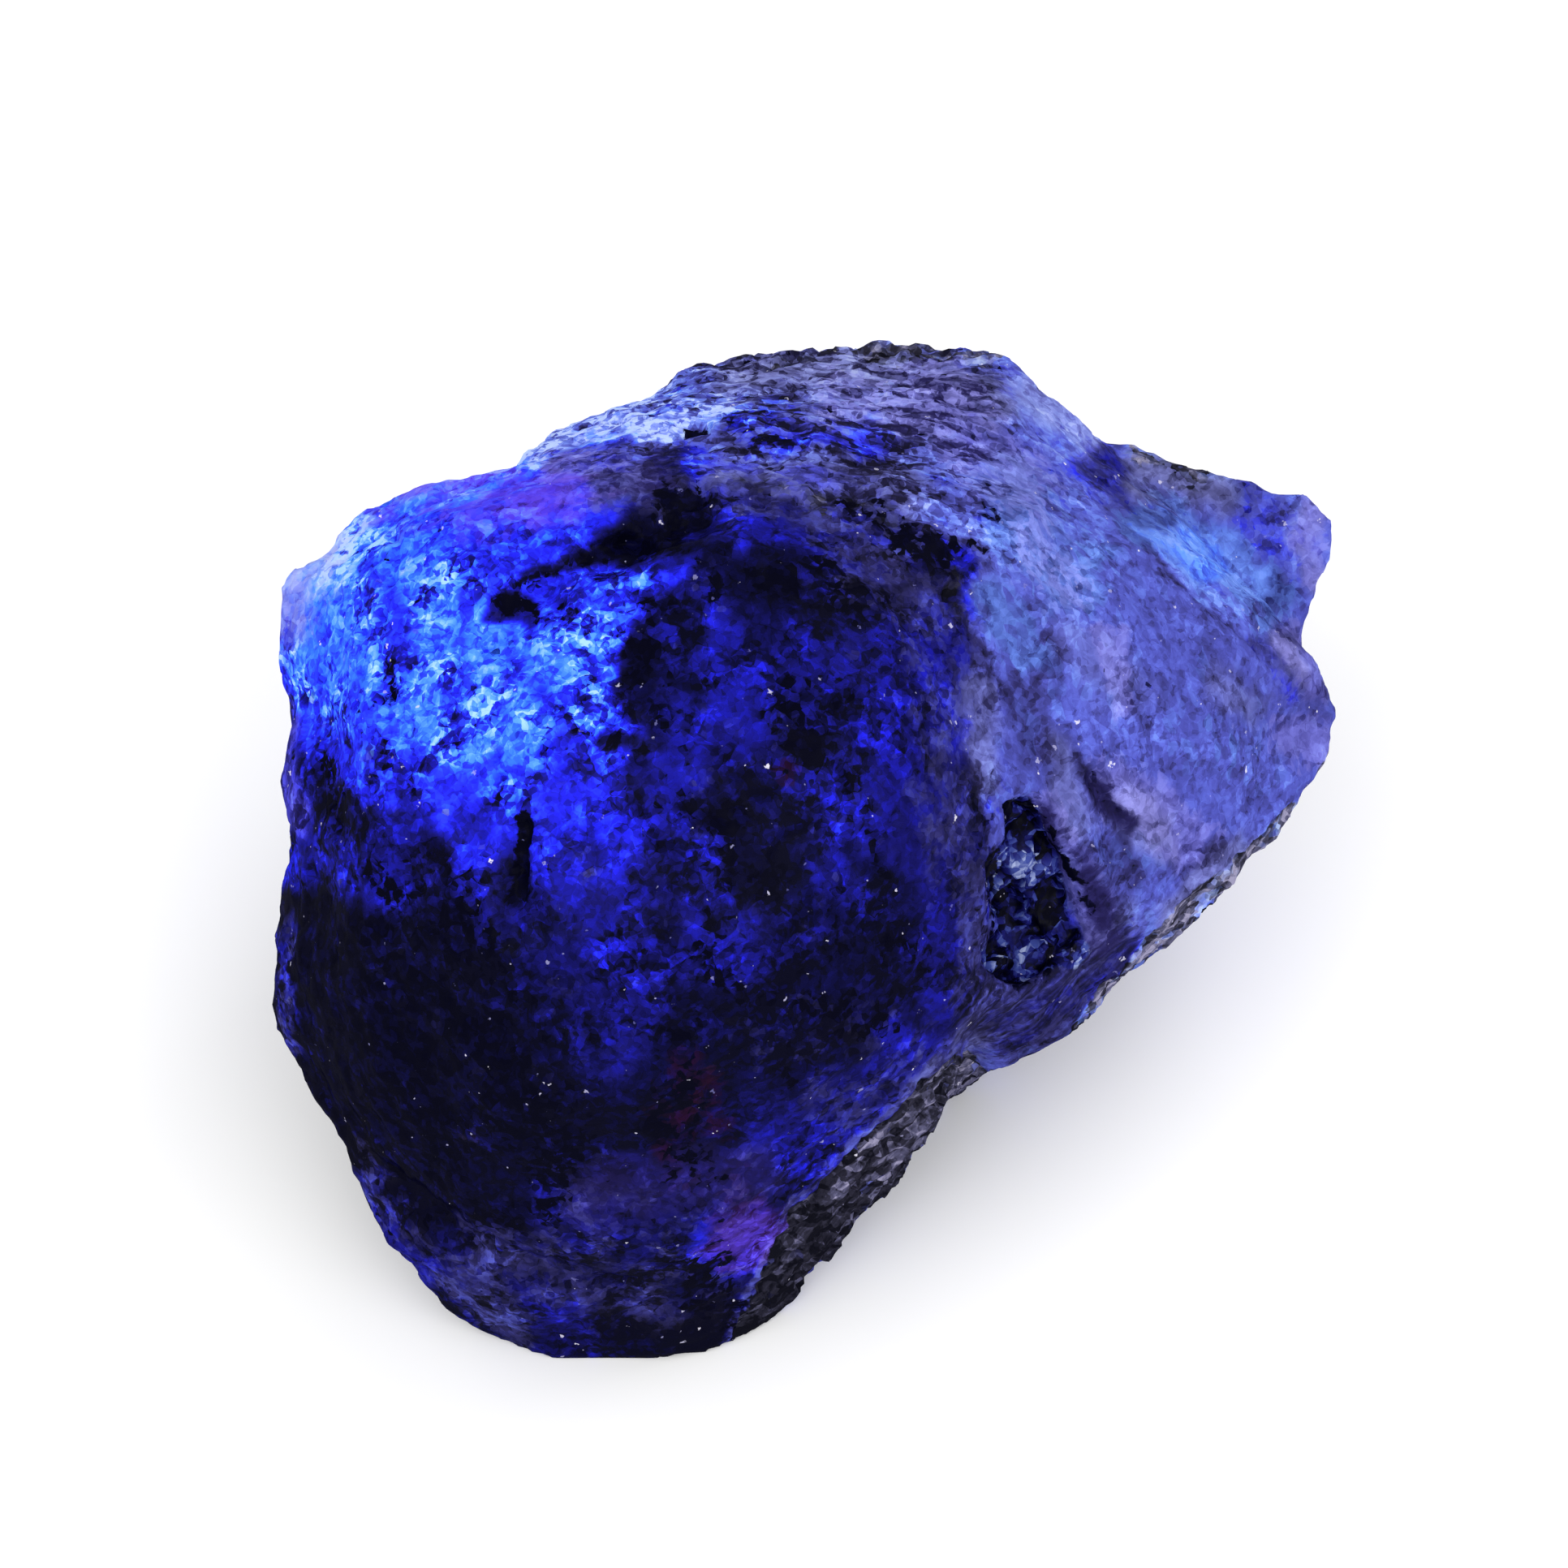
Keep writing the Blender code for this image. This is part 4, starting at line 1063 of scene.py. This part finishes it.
# %% Azure, ash, violet, magenta and red
TINTS = {  # lightness at its dark and pale ends, and the two shades
    "azure": (0.2, 1.0, (26, 40, 100), (104, 150, 232)),
    "lavender": (0.2, 1.0, (34, 28, 84), (138, 130, 214)),
    "ash": (0.1, 1.1, (34, 32, 62), (140, 142, 196)),
    "orchid": (0.1, 0.9, (50, 20, 80), (122, 84, 236)),
}
STAIN = shade(46, 12, 42)


def tint(name):
    """One of the tints, as dark or pale as the stone is there."""
    low, high, dark, pale = TINTS[name]
    return blue.blend(blue.rise(low, high, tone), shade(*dark), shade(*pale))


azure_mask = blue.rise(0.05, 0.75, azured + (patch * 1.3 + slabs * 0.6) * right_side)
colour = blue.blend(azure_mask * 0.5, colour, tint("azure"))
colour = blue.blend(ashen * 0.7, colour, tint("ash"))
violet_mask = blue.rise(0.25, 0.85, violet + (slabs * 0.4 + grit * 0.4 - patch * 0.5) * dusty + blotch * 0.6)
colour = blue.blend(violet_mask * 0.5, colour, tint("lavender"))
colour = blue.blend(blue.rise(0.3, 0.9, magenta + blotch * 1.5) * 0.6, colour, tint("orchid"))
colour = blue.blend(blue.rise(0.35, 0.9, red + blotch * 2.2) * 0.5, colour, STAIN)
print("nodes with the tints:", len(blue.tree.nodes))

# %% [markdown]
# The crust and the pit cover what is below them. Each has its own ramp, the crust's in grey with streaks
# along the rim, the pit's in glassy blues with painted shade where its facets lie deep and painted glints
# where they stand proud. The ink goes over everything, nearly black with a hint of blue.

# %% Crust, pit and ink
CRUST_GREYS = [(0.2, (14, 14, 24)), (0.45, (42, 41, 56)), (0.62, (80, 79, 108)), (0.85, (146, 142, 172))]
PIT_SHADE_TO_GLINT = [(0.1, (3, 3, 18)), (0.3, (10, 10, 56)), (0.48, (28, 30, 108)), (0.72, (62, 76, 150)),
             (0.98, (160, 172, 214))]
INK, BLUE_INK = shade(5, 5, 20), shade(9, 9, 44)

grey_light = 0.03 + 0.55 * light + rim_streak * 0.8 + fine * 0.5 + slates * 0.4 + sugar * 0.4
grey = blue.ramp(CRUST_GREYS, grey_light)
colour = blue.blend(blue.rise(0.35, 0.65, crust + blotch * 2.0), colour, grey)
# painted shade deep in the pit and painted glints on its proud facets
pit_shade_and_glints = blue.ramp(PIT_SHADE_TO_GLINT, 0.68 + proud * 0.50 + sugar * 0.7 + grit * 0.5)
colour = blue.blend(blue.rise(0.35, 0.6, pit + blotch * 0.6), colour, pit_shade_and_glints)
ink_mask = blue.rise(0.38, 0.60, black - calm * 0.25 - blotch * 2.2 - fine * 1.0 - sugar * 0.6)
ink = blue.blend(blue.rise(-0.1, 0.25, fine + sugar * 0.5), INK, BLUE_INK)
colour = blue.blend(ink_mask, colour, ink)
print("nodes with the ink:", len(blue.tree.nodes))

# %% [markdown]
# Flakes of mica throw back white sparks of light, and here they are painted into the colour as glints. One
# more pattern of cells gives each cell a random colour: its red says whether the cell has a glint and how
# large, its green how bright that glint is.

# %% Painted white glints
RAREST = 0.70  # cells whose red is below this have no spark where the mask is 0
DIM_GLINT, WHITE_GLINT = shade(112, 112, 190), shade(224, 220, 234)

glint_cells = blue.add("TexVoronoi", {"feature": "F1"}, {"Vector": bent, "Scale": 1.0}, output="Color")
glint_size = blue.add("SeparateColor", values={0: glint_cells})
glint_tint = blue.add("SeparateColor", values={0: glint_cells}, output=1)
glint_away = Wire(blue, glint_cells.socket.node.outputs["Distance"])
chip = blue.cloud(0.22, 1.0, 0.6) - 0.5
glint_reach = 0.13 * blue.rise(0.0, 0.25, glint_size - RAREST + 0.3 * sparkly)
painted_glint_mask = blue.rise(0.03, -0.03, glint_away + 0.03 - chip * 0.7 - glint_reach)
painted_glint_colour = blue.blend(glint_tint, DIM_GLINT, WHITE_GLINT)
# painted glints: white specks of light thrown back by mica, painted into the colour
colour = blue.blend(painted_glint_mask * (0.35 + 0.5 * glint_tint), colour, painted_glint_colour)
blue.link(blue.surface, {"Base Color": colour})
print("colour uses", len(blue.tree.nodes), "nodes")

# %% [markdown]
# ## Gloss and grain
# The stone is dull where it is rubbed and glassy where it broke, in the pit most of all. Roughness and a thin
# clear coat say so. The specular level is zero all over, because black mica drinks the light that a polished
# stone would throw back. A Bump node adds the grain that is finer than the mesh.

# %% Roughness, coat and bump
DULLNESS, COAT, COAT_DULLNESS = 0.62, 0.025, 0.25
RELIEF_HEIGHT = 0.14  # of the finest grain, in mm

blue.link(blue.surface, {
    "Roughness": DULLNESS - 0.3 * pit + fine * 0.3, "Specular IOR Level": 0.0,
    "Coat Roughness": COAT_DULLNESS, "Coat Weight": COAT + blue.rise(0.2, 1.0, pit) * 0.05})
relief = blue.cloud(0.4, 2.0, 0.6) * 0.6 + grit * 0.7
bump = blue.add("Bump", values={"Height": relief, "Distance": RELIEF_HEIGHT * MM, "Strength": 1.0})
blue.link(blue.surface, {"Normal": bump})
stone.data.materials.append(blue.material)
print("finish has", len(blue.tree.nodes), "nodes")
